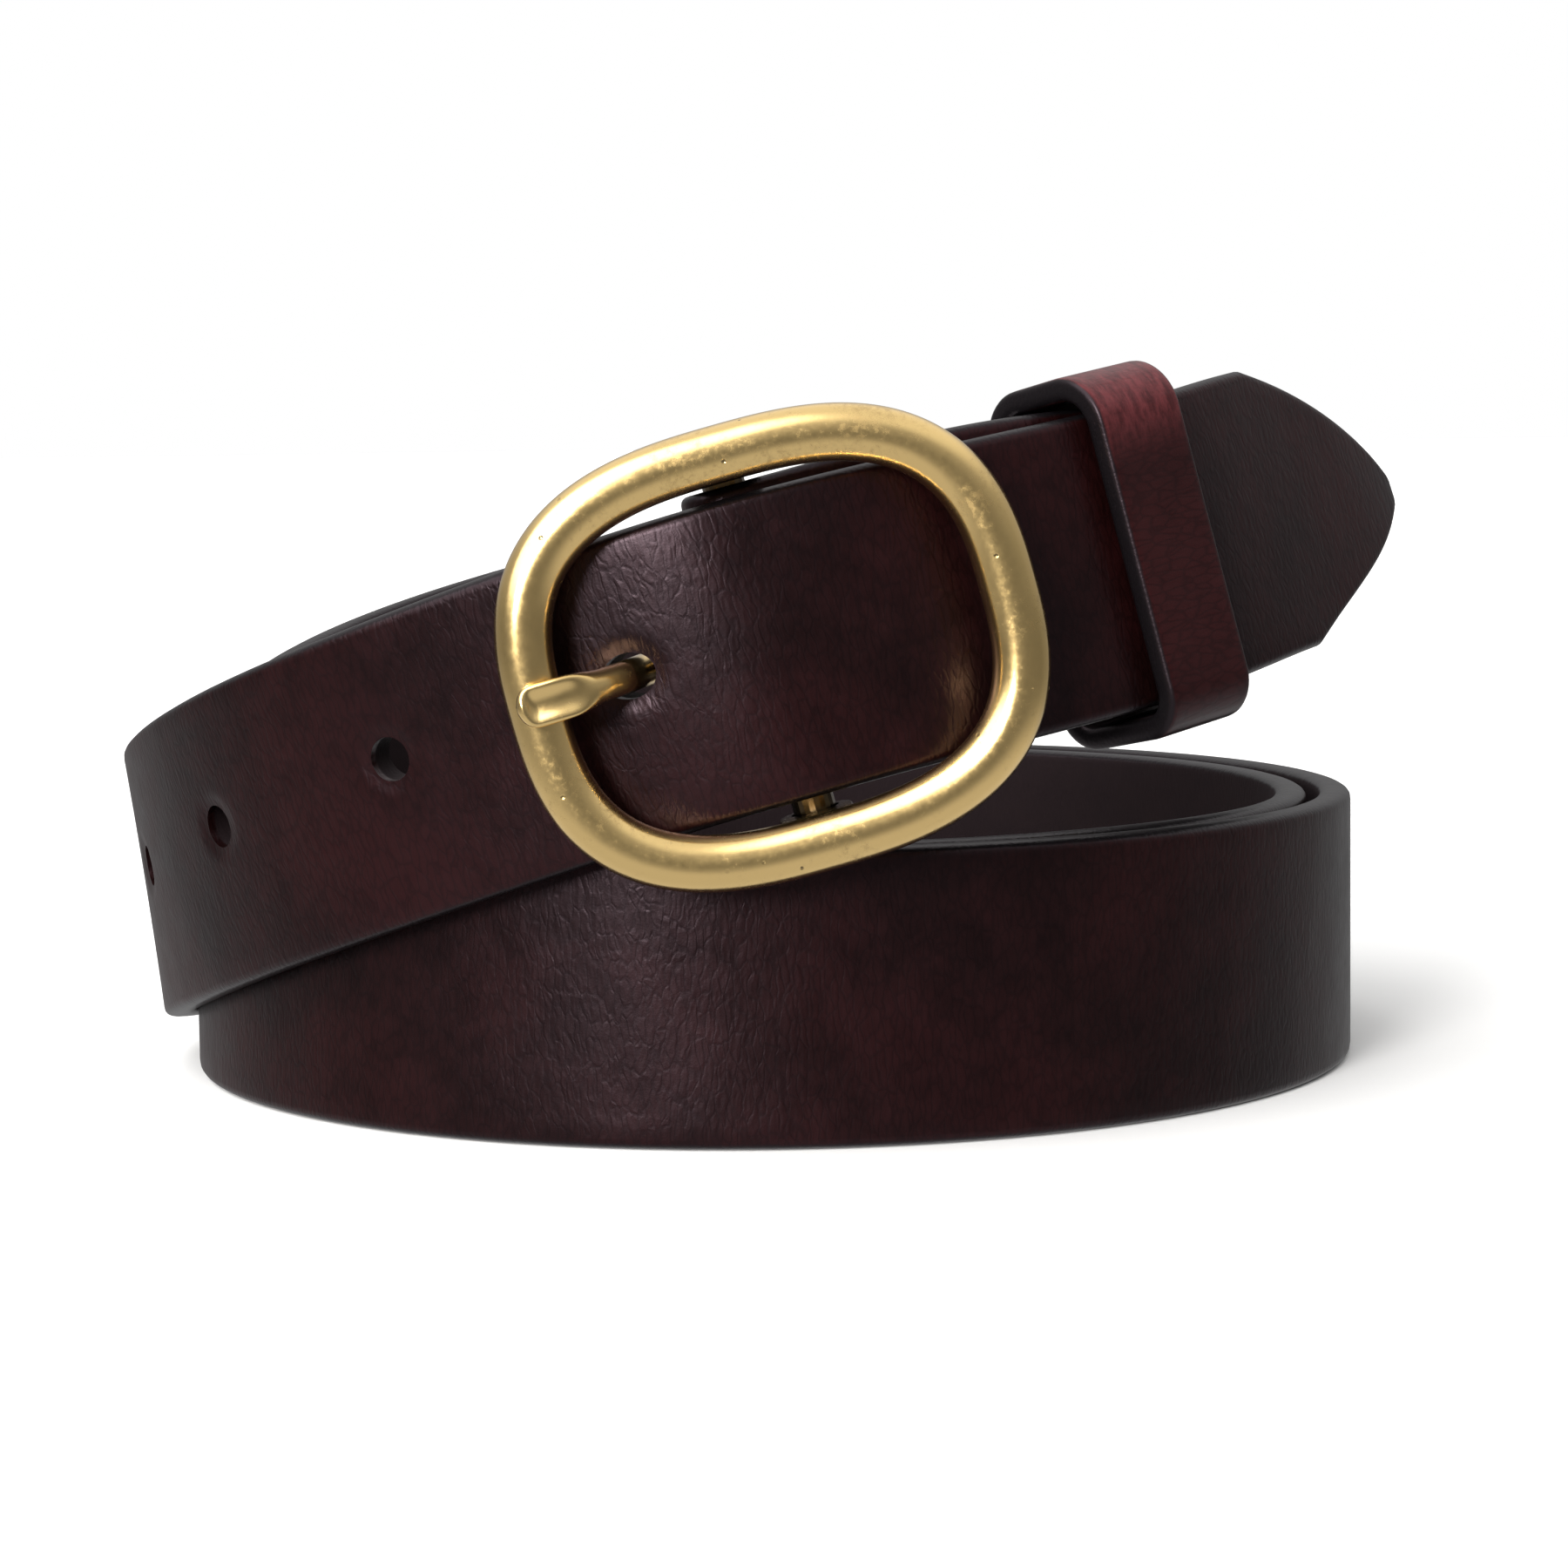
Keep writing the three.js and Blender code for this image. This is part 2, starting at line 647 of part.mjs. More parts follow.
// The keeper's own frame: x to the right along the strap, y up across it, z out of the tip's grain.
const keeperFrame = frameAtLength(-keeperAt);
const keeperMatrix = frameMatrix(keeperFrame);
const intoKeeper = keeperMatrix.clone().invert();

// The stack of strap layers that the keeper goes round, in the keeper's own frame.
function stackBox() {
  const box = new THREE.Box3();
  for (const share of [-0.5, 0, 0.5]) {
    const fromBar = keeperAt + share * keeperWidth;
    const layers = [
      [frameAtLength(-fromBar), strapThickness],
      [doubledFrame(fromBar), strapThickness],
      [tailFrame(fromBar), foldThickness],
    ];
    for (const [frame, thickness] of layers) {
      const corners = strapRing(frame, strapWidth / 2, thickness);
      corners.forEach((corner) => box.expandByPoint(corner.applyMatrix4(intoKeeper)));
    }
  }
  return box;
}

const stack = stackBox();
const keeperInner = {
  low: stack.min.y - keeperBottomRoom,
  high: stack.max.y + keeperTopRoom,
  back: stack.min.z - keeperBackRoom,
  face: stack.max.z + keeperFaceRoom,
  highCorner: 3,
  lowCorner: 2.2,
};

// Rounded rectangle of the keeper's loop, grown outwards by a wall.
function keeperOutline(wall, target) {
  const { low, high, back, face, highCorner, lowCorner } = keeperInner;
  const high2 = highCorner + wall;
  const low2 = lowCorner + wall;
  const quarter = Math.PI / 2;
  target.moveTo(low + lowCorner, back - wall);
  target.absarc(high - highCorner, back + highCorner, high2, -quarter, 0, false);
  target.absarc(high - highCorner, face - highCorner, high2, 0, quarter, false);
  target.absarc(low + lowCorner, face - lowCorner, low2, quarter, 2 * quarter, false);
  target.absarc(low + lowCorner, back + lowCorner, low2, 2 * quarter, 3 * quarter, false);
  target.closePath();
  return target;
}

// Turns a shape drawn in the keeper's y and z, and extruded, so that its depth runs along x.
function alongStrap(shape, depth) {
  const options = { depth, bevelEnabled: false, curveSegments: 6 };
  const solid = new THREE.ExtrudeGeometry(shape, options).translate(0, 0, -depth / 2);
  const axes = [new THREE.Vector3(0, 1, 0), new THREE.Vector3(0, 0, 1), new THREE.Vector3(1, 0, 0)];
  return solid.applyMatrix4(new THREE.Matrix4().makeBasis(...axes));
}

function keeperGeometry() {
  const loop = keeperOutline(keeperThickness, new THREE.Shape());
  loop.holes.push(keeperOutline(0, new THREE.Path()));
  const middle = keeperInner.back - keeperThickness / 2;
  const deep = keeperThickness + 1;
  const joint = new THREE.BoxGeometry(keeperWidth + 2, keeperJoint, deep).translate(0, 0, middle);
  const legHole = stapleWire + 2 * stapleClearance;
  const legHoles = [-1, 1].map((side) => {
    const y = (side * (stapleSpan - stapleWire)) / 2;
    return new THREE.BoxGeometry(legHole, legHole, deep).translate(0, y, middle);
  });
  return toGeometry(cut(toSolid(alongStrap(loop, keeperWidth)), [joint, ...legHoles]));
}

// A wire staple: its crown lies on the back of the keeper and its legs go through both butted ends.
function stapleGeometry() {
  const tip = keeperInner.back - 0.1;
  const crownTop = keeperInner.back - keeperThickness - stapleClearance;
  const half = stapleSpan / 2;
  const shape = new THREE.Shape();
  shape.moveTo(-half, tip);
  shape.lineTo(-half, crownTop - stapleWire);
  shape.lineTo(half, crownTop - stapleWire);
  shape.lineTo(half, tip);
  shape.lineTo(half - stapleWire, tip);
  shape.lineTo(half - stapleWire, crownTop);
  shape.lineTo(stapleWire - half, crownTop);
  shape.lineTo(stapleWire - half, tip);
  shape.closePath();
  return alongStrap(shape, stapleWire);
}

// ---- Assembly ----------------------------------------------------------------------------------

const finish = (color, roughness, metalness) =>
  new THREE.MeshStandardMaterial({ color, roughness, metalness });
const leather = 0x2b1618;
const oxblood = 0x4a1c20;
const brass = 0xb8975a;
const steel = 0x8d8a84;

function piece(name, geometry, color, roughness, metalness) {
  const mesh = new THREE.Mesh(geometry, finish(color, roughness, metalness));
  mesh.name = name;
  return mesh;
}

function placed(matrix, ...meshes) {
  const group = new THREE.Group();
  group.add(...meshes);
  group.applyMatrix4(matrix);
  return group;
}

const centreBar = new THREE.CylinderGeometry(barDiameter / 2, barDiameter / 2, barLength, 24);
const belt = new THREE.Group();
belt.name = "leather_belt";
belt.add(
  piece("strap", strapGeometry(), leather, 0.45, 0),
  placed(
    buckleMatrix,
    piece("buckle_frame", buckleFrameGeometry(), brass, 0.32, 1),
    piece("centre_bar", centreBar, brass, 0.4, 1),
    piece("prong", prongGeometry(), brass, 0.32, 1),
  ),
  placed(
    keeperMatrix,
    piece("keeper", keeperGeometry(), oxblood, 0.45, 0),
    piece("keeper_staple", stapleGeometry(), steel, 0.35, 1),
  ),
);
screwPlaces.forEach((fromBar, i) => {
  const matrix = frameMatrix(frameAtLength(routeEnd - fromBar));
  belt.add(
    placed(
      matrix,
      piece(`screw_post_${i + 1}`, screwPostGeometry(), brass, 0.4, 1),
      piece(`fold_screw_${i + 1}`, foldScrewGeometry(), brass, 0.4, 1),
    ),
  );
});

const bounds = new THREE.Box3().setFromObject(belt);
const middle = bounds.getCenter(new THREE.Vector3());
belt.position.set(-middle.x, -middle.y, -bounds.min.z);

export default belt;
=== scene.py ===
"""A gentleman's leather belt, buckled and wound into a three-turn coil that stands on its edge.

Each operator makes one piece of the belt, or one group of like pieces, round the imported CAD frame,
whose hinge on the centre bar says where the belt stands and whose nodes say how deep its parts are.
The strap's route is worked out in millimetres about the coil's middle; meshes are in metres.
"""

import json
import math
from types import SimpleNamespace

import bmesh
import bpy
import numpy as np
from mathutils import Matrix, Vector


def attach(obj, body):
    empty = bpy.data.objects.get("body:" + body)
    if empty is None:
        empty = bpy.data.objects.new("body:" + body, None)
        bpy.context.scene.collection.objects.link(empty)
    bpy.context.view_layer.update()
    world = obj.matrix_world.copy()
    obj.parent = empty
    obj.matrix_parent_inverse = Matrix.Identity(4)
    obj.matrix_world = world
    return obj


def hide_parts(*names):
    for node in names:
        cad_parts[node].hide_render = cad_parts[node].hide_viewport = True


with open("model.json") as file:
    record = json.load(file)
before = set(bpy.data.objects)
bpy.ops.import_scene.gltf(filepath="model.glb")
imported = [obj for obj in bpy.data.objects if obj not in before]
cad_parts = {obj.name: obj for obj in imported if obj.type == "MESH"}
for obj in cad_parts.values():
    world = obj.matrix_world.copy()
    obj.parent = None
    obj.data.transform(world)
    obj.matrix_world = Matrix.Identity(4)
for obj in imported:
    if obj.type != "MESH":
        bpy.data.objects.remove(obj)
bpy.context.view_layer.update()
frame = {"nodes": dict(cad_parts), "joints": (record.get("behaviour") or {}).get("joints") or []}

bl_info = {
    "name": "Leather belt",
    "version": (1, 0, 0),
    "blender": (4, 5, 0),
    "location": "3D View > Sidebar > Belt",
    "description": "Makes the pieces of a buckled, coiled leather belt",
    "category": "Object",
}

MM = 0.001
TURN = 360

# ---- Fixed places and fits, in millimetres unless said otherwise ------------------------------------

# The strap: gaps between its layers, its skived buckle end, its point and its holes.
PASS_GAP = 0.4
TIP_ROOM = 0.5
SKIVE_START = 9
SKIVE_END = 20
TAIL_CORNER = 6
POINT_POWER = 0.6
NOSE_HALF_WIDTH = 1.1
HOLE_OFFSET = 1.3
HOLE_COUNT = 5
HOLE_DISH_REACH = 0.9
PRONG_HOLE_AT = 11.9
PRONG_HOLE_STRETCH = 5
PRONG_HOLE_SHIFT = 0.25
SLOT_WIDTH = 6
SLOT_REACH = 11
SLOT_ROUND = 0.3
BUCKLE_TURN = 3 * TURN

# Where the strap's upper pass is pushed out over the centre bar, and crowned.
HUMP_AT = 3
HUMP_HEIGHT = 0.7
HUMP_REACH = 8
CROWN_HEIGHT = 0.5
CROWN_REACH = 14

# Spacing of the strap's cross sections: along it, near its holes, over its skive, round its fold.
STRAP_STEP = 1.2
HOLE_STEP = 0.5
HOLE_ROOM = 4.5
SKIVE_STEP = 0.8
FOLD_STEP_DEGREES = 6
TAIL_RUN_ROOM = 10

# The screw sets.
SCREW_PLACES = (22, 55)
SCREW_BARREL = 5
SCREW_SHANK = 3
SCREW_SINK = 1.1
SCREW_SEAT = 0.2
SCREW_HEAD_THICKNESS = 0.8
SCREW_CLEARANCE = 0.3
SCREW_SOFT_EDGE = 0.3
SCREW_SLOT = 0.5

# The buckle's frame, its lugs and the centre bar.
BAR_CLEARANCE = 0.3
FRAME_EDGE_ROOM = 1.4
FRAME_ROUNDNESS = 2.75
FRAME_SECTIONS = 240
FRAME_FLATTENING = 0.96
# Depths behind the frame's front over which its brass darkens, as painted shade.
FRAME_SHADE_DEPTHS = (2.2, 3.6)
LUG_WIDTH = 6.4
LUG_THICKNESS = 2.4
LUG_WALL = 1.2
LUG_INSET = 1
LUG_BEVEL = 0.35

# The prong; lengths along its paddle are counted back from its nose.
PRONG_RISE = math.radians(60)
PRONG_LEAD = 0.6
PRONG_BEND = 3.2
PRONG_BEND_RISE = 2
PRONG_EYE_WALL = 2
PRONG_EYE_LENGTH = 4
PRONG_SECTIONS = 72
EYE_SECTIONS = 64
PADDLE_THICKNESS = 2.2
PADDLE_WIDTH = 3.9
PADDLE_OVERHANG = 1.6
PADDLE_DISH = 0.95
PADDLE_FLARE = (9.0, 4.5)
PADDLE_NOSE = 1.9
DISH_STARTS = (7.0, 4.6)
DISH_ENDS = (0.5, 1.6)

# The keeper and its staple.
KEEPER_AT = 39.3
KEEPER_HIGH_CORNER = 3.0
KEEPER_LOW_CORNER = 2.2
KEEPER_JOINT = 0.5
KEEPER_EDGE_ROUND = 0.75
KEEPER_STEP = 0.8
# Where the keeper's painted highlight, for light from above, is centred along its loop, and how far it
# reaches.
KEEPER_HIGHLIGHT_AT = 27.0
KEEPER_HIGHLIGHT_REACH = 9
STAPLE_WIRE = 0.9
STAPLE_SPAN = 7
STAPLE_BEND = 0.7
STAPLE_LEG_END = 0.2

# Edges sharper than these stay crisp, in degrees.
METAL_CRISP = 38
LEATHER_CRISP = 50

# Leather: noise and cell scales per metre of unrolled strap, roughness, and bump depths in metres.
PATCH_SCALE = 34.0
MOTTLE_SCALE = 260.0
WANDER_SCALE = 420.0
WANDER_REACH = 0.0009
PORE_SCALE = 2300.0
WRINKLE_SCALE = 1300.0
FINE_SCALE = 5200.0
SWELL_SCALE = 150.0
BURNISH_SCALE = 900.0
GRAIN_ROUGHNESS = 0.24
GRAIN_ROUGHNESS_SPREAD = 0.16
FLESH_ROUGHNESS = (0.78, 0.78, 0.78)
EDGE_ROUGHNESS = (0.34, 0.34, 0.34)
SWELL_DEPTH = 0.00025
WRINKLE_DEPTH = 0.000013
PORE_DEPTH = 0.000032
FINE_DEPTH = 0.000012
LEATHER_SHEEN = 0.22
LEATHER_SHEEN_TINT = (1.0, 0.74, 0.84, 1.0)

# Brass: noise and pit scales per metre, the colour of its pits and the painted shade of its recesses,
# and bump depths.
TARNISH_SCALE = 95.0
SPECK_SCALE = 1500.0
PIT_SCALE = 620.0
CAST_SCALE = 200.0
PIT_COLOUR = (0.06, 0.035, 0.015)
RECESS_SHADE_COLOUR = (0.030, 0.018, 0.009)
CAST_DEPTH = 0.00010
SPECK_DEPTH = 0.000012
PIT_DEPTH = 0.00012
BRASS_COAT = 0.4
BRASS_COAT_ROUGHNESS = 0.2

# The stage: the camera stands before the coil's middle, pitched down and rolled a little.
CAMERA_LENS = 86.8
CAMERA_SENSOR = 36.0
CAMERA_PLACE = (1.34, -406.0, 65.4)
CAMERA_PITCH = math.radians(90) - 0.0906
CAMERA_ROLL = -0.0135
FLOOR_RADIUS = 30000
FLOOR_THICKNESS = 2
KEY_ENERGY = 3.7
KEY_ANGLE = math.radians(17)
KEY_COLOUR = (1.0, 0.985, 0.97)
KEY_AIM = (-0.42, -0.90, 0.24)
PANEL_AIM = (-0.55, -0.50, 0.67)
PANEL_STRENGTH = 3.6
ABOVE_STRENGTH = 0.8

# ---- Sizes and colours ---------------------------------------------------------------------------


def length(name, description, millimetres):
    """A length property in metres, with its default given in millimetres."""
    return bpy.props.FloatProperty(
        name=name,
        description=description,
        default=millimetres * MM,
        min=0.0,
        unit="LENGTH",
        precision=5,
    )


def colour(name, description, default):
    """A linear RGB colour property."""
    return bpy.props.FloatVectorProperty(
        name=name,
        description=description,
        default=default,
        size=3,
        min=0.0,
        max=1.0,
        subtype="COLOR",
    )


class BeltSizes(bpy.types.PropertyGroup):
    """Sizes of the belt's pieces."""

    strap_width: length("Strap width", "Width of the strap", 28)
    strap_thickness: length("Strap thickness", "Thickness of the strap", 3.4)
    fold_thickness: length("Fold thickness", "Thickness of the strap round the centre bar", 2)
    edge_round: length("Edge rounding", "Rounding of the strap's burnished edges", 1.1)
    coil_radius: length("Coil radius", "Middle of the innermost pass of the coil", 52)
    tip_reach: length("Tip reach", "From the centre bar to the nose of the tapered end", 82.8)
    point_length: length("Point length", "Length of the tapered end", 22.5)
    tail_length: length("Tail length", "Length of the turned-back end", 64)
    hole_diameter: length("Hole diameter", "Diameter of the adjustment holes", 4.2)
    hole_pitch: length("Hole pitch", "Distance between adjustment holes", 25.4)
    hole_dish: length("Hole dish", "How far the leather sinks round a hole", 0.28)
    buckle_length: length("Buckle length", "Length of the buckle's frame", 48.8)
    buckle_wire: length("Buckle wire", "Thickness of the buckle's frame", 5.2)
    bar_diameter: length("Bar diameter", "Diameter of the centre bar", 4)
    prong_diameter: length("Prong diameter", "Diameter of the prong's shank", 3)
    keeper_width: length("Keeper width", "Width of the keeper loop", 10.5)
    keeper_thickness: length("Keeper thickness", "Thickness of the keeper loop", 2.2)
    screw_head: length("Screw head", "Diameter of the heads of the screw sets", 9)


class BeltColours(bpy.types.PropertyGroup):
    """Colours of the belt's finishes."""

    leather: colour("Leather", "Deep colour of the strap", (0.0034, 0.0009, 0.0008))
    leather_red: colour("Leather, red", "Redder patches of the strap", (0.0098, 0.0018, 0.0018))
    leather_edge: colour("Leather edge", "Burnished edges", (0.0030, 0.0026, 0.0030))
    leather_flesh: colour("Leather inside", "Flesh side of the strap", (0.0022, 0.0011, 0.0009))
    keeper: colour("Keeper", "Colour of the keeper loop", (0.0085, 0.0015, 0.0015))
    # Painted highlight: the keeper's pale colour stands for light from above on its upper front.
    keeper_pale: colour("Keeper, worn", "Rubbed parts of the keeper loop", (0.1000, 0.0210, 0.0230))
    brass: colour("Brass", "Rubbed brass of the buckle", (0.800, 0.565, 0.230))
    brass_dark: colour("Brass, dark", "Brown tarnish on the brass", (0.330, 0.215, 0.085))
    steel: colour("Steel", "Wire of the keeper's staple", (0.480, 0.465, 0.440))
    floor: colour("Floor", "Pale floor", (0.860, 0.855, 0.845))


def sizes_in_millimetres():
    """The scene's belt sizes, as plain numbers in millimetres."""
    group = bpy.context.scene.belt_sizes
    names = BeltSizes.__annotations__
    return SimpleNamespace(**{name: getattr(group, name) / MM for name in names})


# ---- The strap's route ---------------------------------------------------------------------------


def smooth(low, high, x):
    """Smooth step from 0 at low to 1 at high."""
    share = np.clip((x - low) / (high - low), 0, 1)
    return share * share * (3 - 2 * share)


def unit(vectors):
    """Vectors scaled to length one."""
    return vectors / np.linalg.norm(vectors, axis=-1, keepdims=True)


def square_to(vectors, axis):
    """Unit vectors with what lies along the axis taken out."""
    along = np.sum(vectors * axis, axis=-1, keepdims=True)
    return unit(vectors - along * axis)


def natural_spline(xs, ys):
    """Natural cubic spline, as a function that gives value and slope; straight past its ends."""
    xs = np.asarray(xs, float)
    ys = np.asarray(ys, float)
    steps = np.diff(xs)
    slopes = np.diff(ys) / steps
    system = np.eye(len(xs))
    kinks = np.zeros(len(xs))
    for i in range(1, len(xs) - 1):
        system[i, i - 1 : i + 2] = steps[i - 1], 2 * (steps[i - 1] + steps[i]), steps[i]
        kinks[i] = 6 * (slopes[i] - slopes[i - 1])
    bend = np.linalg.solve(system, kinks)

    def at(x):
        inside = np.clip(x, xs[0], xs[-1])
        k = np.clip(np.searchsorted(xs, inside) - 1, 0, len(xs) - 2)
        width = steps[k]
        b = (inside - xs[k]) / width
        a = 1 - b
        curve = (a**3 - a) * bend[k] + (b**3 - b) * bend[k + 1]
        value = a * ys[k] + b * ys[k + 1] + curve * width**2 / 6
        tilt = (3 * b**2 - 1) * bend[k + 1] - (3 * a**2 - 1) * bend[k]
        slope = slopes[k] + tilt * width / 6
        return value + slope * (x - inside), slope

    return at


def lengths_along(points):
    """Lengths walked from the first point to each point."""
    steps = np.linalg.norm(np.diff(points, axis=0), axis=1)
    return np.concatenate([[0], np.cumsum(steps)])


class Route:
    """The strap's way from its tip round three turns to the centre bar and back along its tail."""

    def __init__(self, size):
        self.size = size
        step = size.strap_thickness + PASS_GAP
        outer, lower_outer, lower_inner = (size.coil_radius + n * step for n in (3, 2, 1))
        inner = size.coil_radius
        at_bar = outer + 2.5
        doubled = size.strap_thickness + TIP_ROOM
        fold_drop = (size.strap_thickness + size.fold_thickness) / 2 + PASS_GAP
        # Turn in degrees (0 at the buckle, 90 at the left), radius, lift in strap widths, lean.
        stations = (
            (-75, outer + 2.5, 1.61, 22),
            (-56, outer - 2.2, 1.58, 19.5),
            (-38, outer - 1.1, 1.47, 17),
            (-20, outer + 0.4, 1.345, 16),
            (0, at_bar, 1.17, 16),
            (22, outer + 2.7, 0.89, 16),
            (45, outer + 3.0, 0.58, 13),
            (65, outer + 2.1, 0.35, 10),
            (90, outer + 1.6, 0.15, 6),
            (120, outer + 0.9, 0.04, 3),
            (160, outer + 0.2, 0, 0),
            (200, outer - 1.0, 0, 0),
            (270, lower_outer + 0.6, 0, 0),
            (360, lower_outer, 0, 0),
            (450, lower_outer + 0.3, 0, 0),
            (540, lower_outer - 2.3, 0, 0),
            (630, lower_inner - 0.4, 0, 0),
            (700, lower_inner, 0, 0),
            (740, lower_inner, 0.02, 1),
            (790, lower_inner, 0.24, 5),
            (850, lower_inner - 1.2, 0.68, 10),
            (900, lower_inner - 2.4, 1.05, 12),
            (950, inner - 0.4, 1.32, 14),
            (990, inner - 1.2, 1.47, 15),
            (1020, inner + 0.8, 1.49, 16),
            (1042, outer - 0.9 - doubled, 1.45, 16),
            (1060, outer + 0.4 - doubled, 1.385, 16),
            (BUCKLE_TURN, at_bar - fold_drop, 1.208, 16),
        )
        turns, radii, lifts, leans = zip(*stations)
        self.radius_at = natural_spline(turns, radii)
        self.lift_at = natural_spline(turns, lifts)
        self.lean_at = natural_spline(turns, leans)

        self.turns = np.arange(-150, BUCKLE_TURN + 0.25, 0.5)
        self.gone = lengths_along(self.at_turn(self.turns).centre)
        self.zero = np.interp(0, self.turns, self.gone)
        self.end = self.gone[-1] - self.zero
        self.lay_out_buckle()

    def at_turn(self, turns):
        """Middle, way along, way up across the strap and way out of its grain side, at turns."""
        turns = np.asarray(turns, float)
        angle = np.radians(turns)
        radius, radius_slope = self.radius_at(turns)
        lift, lift_slope = self.lift_at(turns)
        flat = np.zeros_like(angle)
        outwards = np.stack([-np.sin(angle), -np.cos(angle), flat], -1)
        onwards = np.stack([-np.cos(angle), np.sin(angle), flat], -1)
        centre = outwards * radius[..., None]
        centre[..., 2] = self.size.strap_width * (np.maximum(0, lift) + 0.5)
        along = onwards * radius[..., None] + outwards * np.degrees(radius_slope)[..., None]
        climb = self.size.strap_width * np.degrees(lift_slope)
        along[..., 2] = np.where(lift < 0, 0, climb)
        along = unit(along)
        lean = np.radians(self.lean_at(turns)[0])
        up = square_to(np.stack([-np.sin(lean), flat, np.cos(lean)], -1), along)
        return SimpleNamespace(centre=centre, along=along, up=up, out=np.cross(up, along))

    def at(self, lengths):
        """The same at lengths along the route, counted from the centre bar."""
        return self.at_turn(np.interp(np.asarray(lengths, float) + self.zero, self.gone, self.turns))

    def lay_out_buckle(self):
        """The buckle's own frame: right along the strap, up along the centre bar, and out."""
        size = self.size
        self.bar_reach = (size.buckle_length - size.buckle_wire) / 2
        self.fold_radius = size.bar_diameter / 2 + BAR_CLEARANCE + size.fold_thickness / 2
        tip = self.at_turn(0.0)
        ends = self.at([-self.bar_reach, self.bar_reach]).centre
        self.right = unit(ends[0] - ends[1])
        self.bar_up = square_to(tip.up, self.right)
        self.bar_out = np.cross(self.right, self.bar_up)
        start = self.at_turn(float(BUCKLE_TURN)).centre
        self.fold_centre = start - self.bar_out * self.fold_radius
        offset = np.dot(tip.centre - self.fold_centre, self.bar_up)
        self.bar_centre = self.fold_centre + offset * self.bar_up

    def hole_frame(self, lengths):
        """The strap's frame at its adjustment holes, which lie a little above its middle."""
        spot = self.at(lengths)
        spot.centre = spot.centre + spot.up * HOLE_OFFSET
        return spot

    def doubled(self, from_bar):
        """The strap's buckle end at distances from the centre bar, squared up to the bar."""
        spot = self.at(self.end - np.asarray(from_bar, float))
        share = (1 - smooth(0, SKIVE_END, np.asarray(from_bar, float)))[..., None]
        spot.up = unit(spot.up + (self.bar_up - spot.up) * share)
        spot.out = square_to(spot.out + (self.bar_out - spot.out) * share, spot.up)
        return spot

    def fold(self, degrees):
        """The strap round the centre bar: 0 degrees on the outside and 180 inside."""
        angle = np.radians(degrees)[..., None]
        out = self.bar_out * np.cos(angle) - self.right * np.sin(angle)
        centre = self.fold_centre + out * self.fold_radius
        return SimpleNamespace(centre=centre, up=np.broadcast_to(self.bar_up, out.shape), out=out)

    def tail(self, from_bar):
        """The turned-back end under the doubled end, closing up to it."""
        above = self.doubled(from_bar)
        closing = smooth(0, SKIVE_START + self.size.bar_diameter, np.asarray(from_bar, float))
        near = (self.size.strap_thickness + self.size.fold_thickness) / 2 + PASS_GAP
        drop = 2 * self.fold_radius + (near - 2 * self.fold_radius) * closing
        centre = above.centre - above.out * drop[..., None]
        return SimpleNamespace(centre=centre, up=above.up, out=-above.out)

    def hole_lengths(self):
        """Distances of the adjustment holes from the centre bar, the one in use first."""
        return PRONG_HOLE_AT + self.size.hole_pitch * np.arange(HOLE_COUNT)


def coil_middle(route):
    """Where the coil's middle lies in the frame, in metres, from the hinge on the centre bar."""
    hinge = next(joint for joint in frame["joints"] if joint["name"] == "buckle_swing")
    return np.array(hinge["pos_m"]) - route.bar_centre * MM


def placing(right, up, out, centre, middle):
    """The matrix from a piece's own millimetres to metres in the frame."""
    matrix = np.eye(4)
    matrix[:3, :3] = np.stack([right, up, out], axis=1) * MM
    matrix[:3, 3] = np.asarray(centre) * MM + middle
    return matrix


OWN_PLACE = np.diag([MM, MM, MM, 1.0])


def placed(matrix, points):
    """Points carried over by a placing matrix."""
    return np.asarray(points, float) @ matrix[:3, :3].T + matrix[:3, 3]


def turned(matrix, vectors):
    """Directions carried over by a placing matrix, at length one."""
    return unit(np.asarray(vectors, float) @ matrix[:3, :3].T)


# ---- Node trees ----------------------------------------------------------------------------------


def add_node(tree, kind, inputs=None, **settings):
    """A new node; each input is a value, or a socket to link from, by the input's name or index."""
    node = tree.nodes.new(kind)
    for name, value in settings.items():
        setattr(node, name, value)
    for key, value in (inputs or {}).items():
        if isinstance(value, bpy.types.NodeSocket):
            tree.links.new(value, node.inputs[key])
        else:
            node.inputs[key].default_value = value
    return node


def arithmetic(tree, operation, *values):
    """Output socket of a Math node."""
    return add_node(tree, "ShaderNodeMath", dict(enumerate(values)), operation=operation).outputs[0]


def vectors(tree, operation, *values):
    """Vector output of a Vector Math node; Scale takes its factor last."""
    inputs = dict(enumerate(values))
    if operation == "SCALE":
        inputs = {0: values[0], "Scale": values[1]}
    return add_node(tree, "ShaderNodeVectorMath", inputs, operation=operation).outputs[0]


def geometry_tree(name, sockets):
    """A geometry node tree with the given named inputs, and its input node."""
    tree = bpy.data.node_groups.new(name, "GeometryNodeTree")
    tree.interface.new_socket("Geometry", in_out="INPUT", socket_type="NodeSocketGeometry")
    tree.interface.new_socket("Geometry", in_out="OUTPUT", socket_type="NodeSocketGeometry")
    for socket, kind in sockets.items():
        tree.interface.new_socket(socket, in_out="INPUT", socket_type=kind)
    return tree, tree.nodes.new("NodeGroupInput")


def end_tree(tree, geometry, finish):
    """Realize Instances and Set Material, then the tree's output."""
    real = add_node(tree, "GeometryNodeRealizeInstances", {"Geometry": geometry})
    inputs = {"Geometry": real.outputs[0], "Material": finish}
    coated = add_node(tree, "GeometryNodeSetMaterial", inputs)
    add_node(tree, "NodeGroupOutput", {"Geometry": coated.outputs[0]})
    return tree


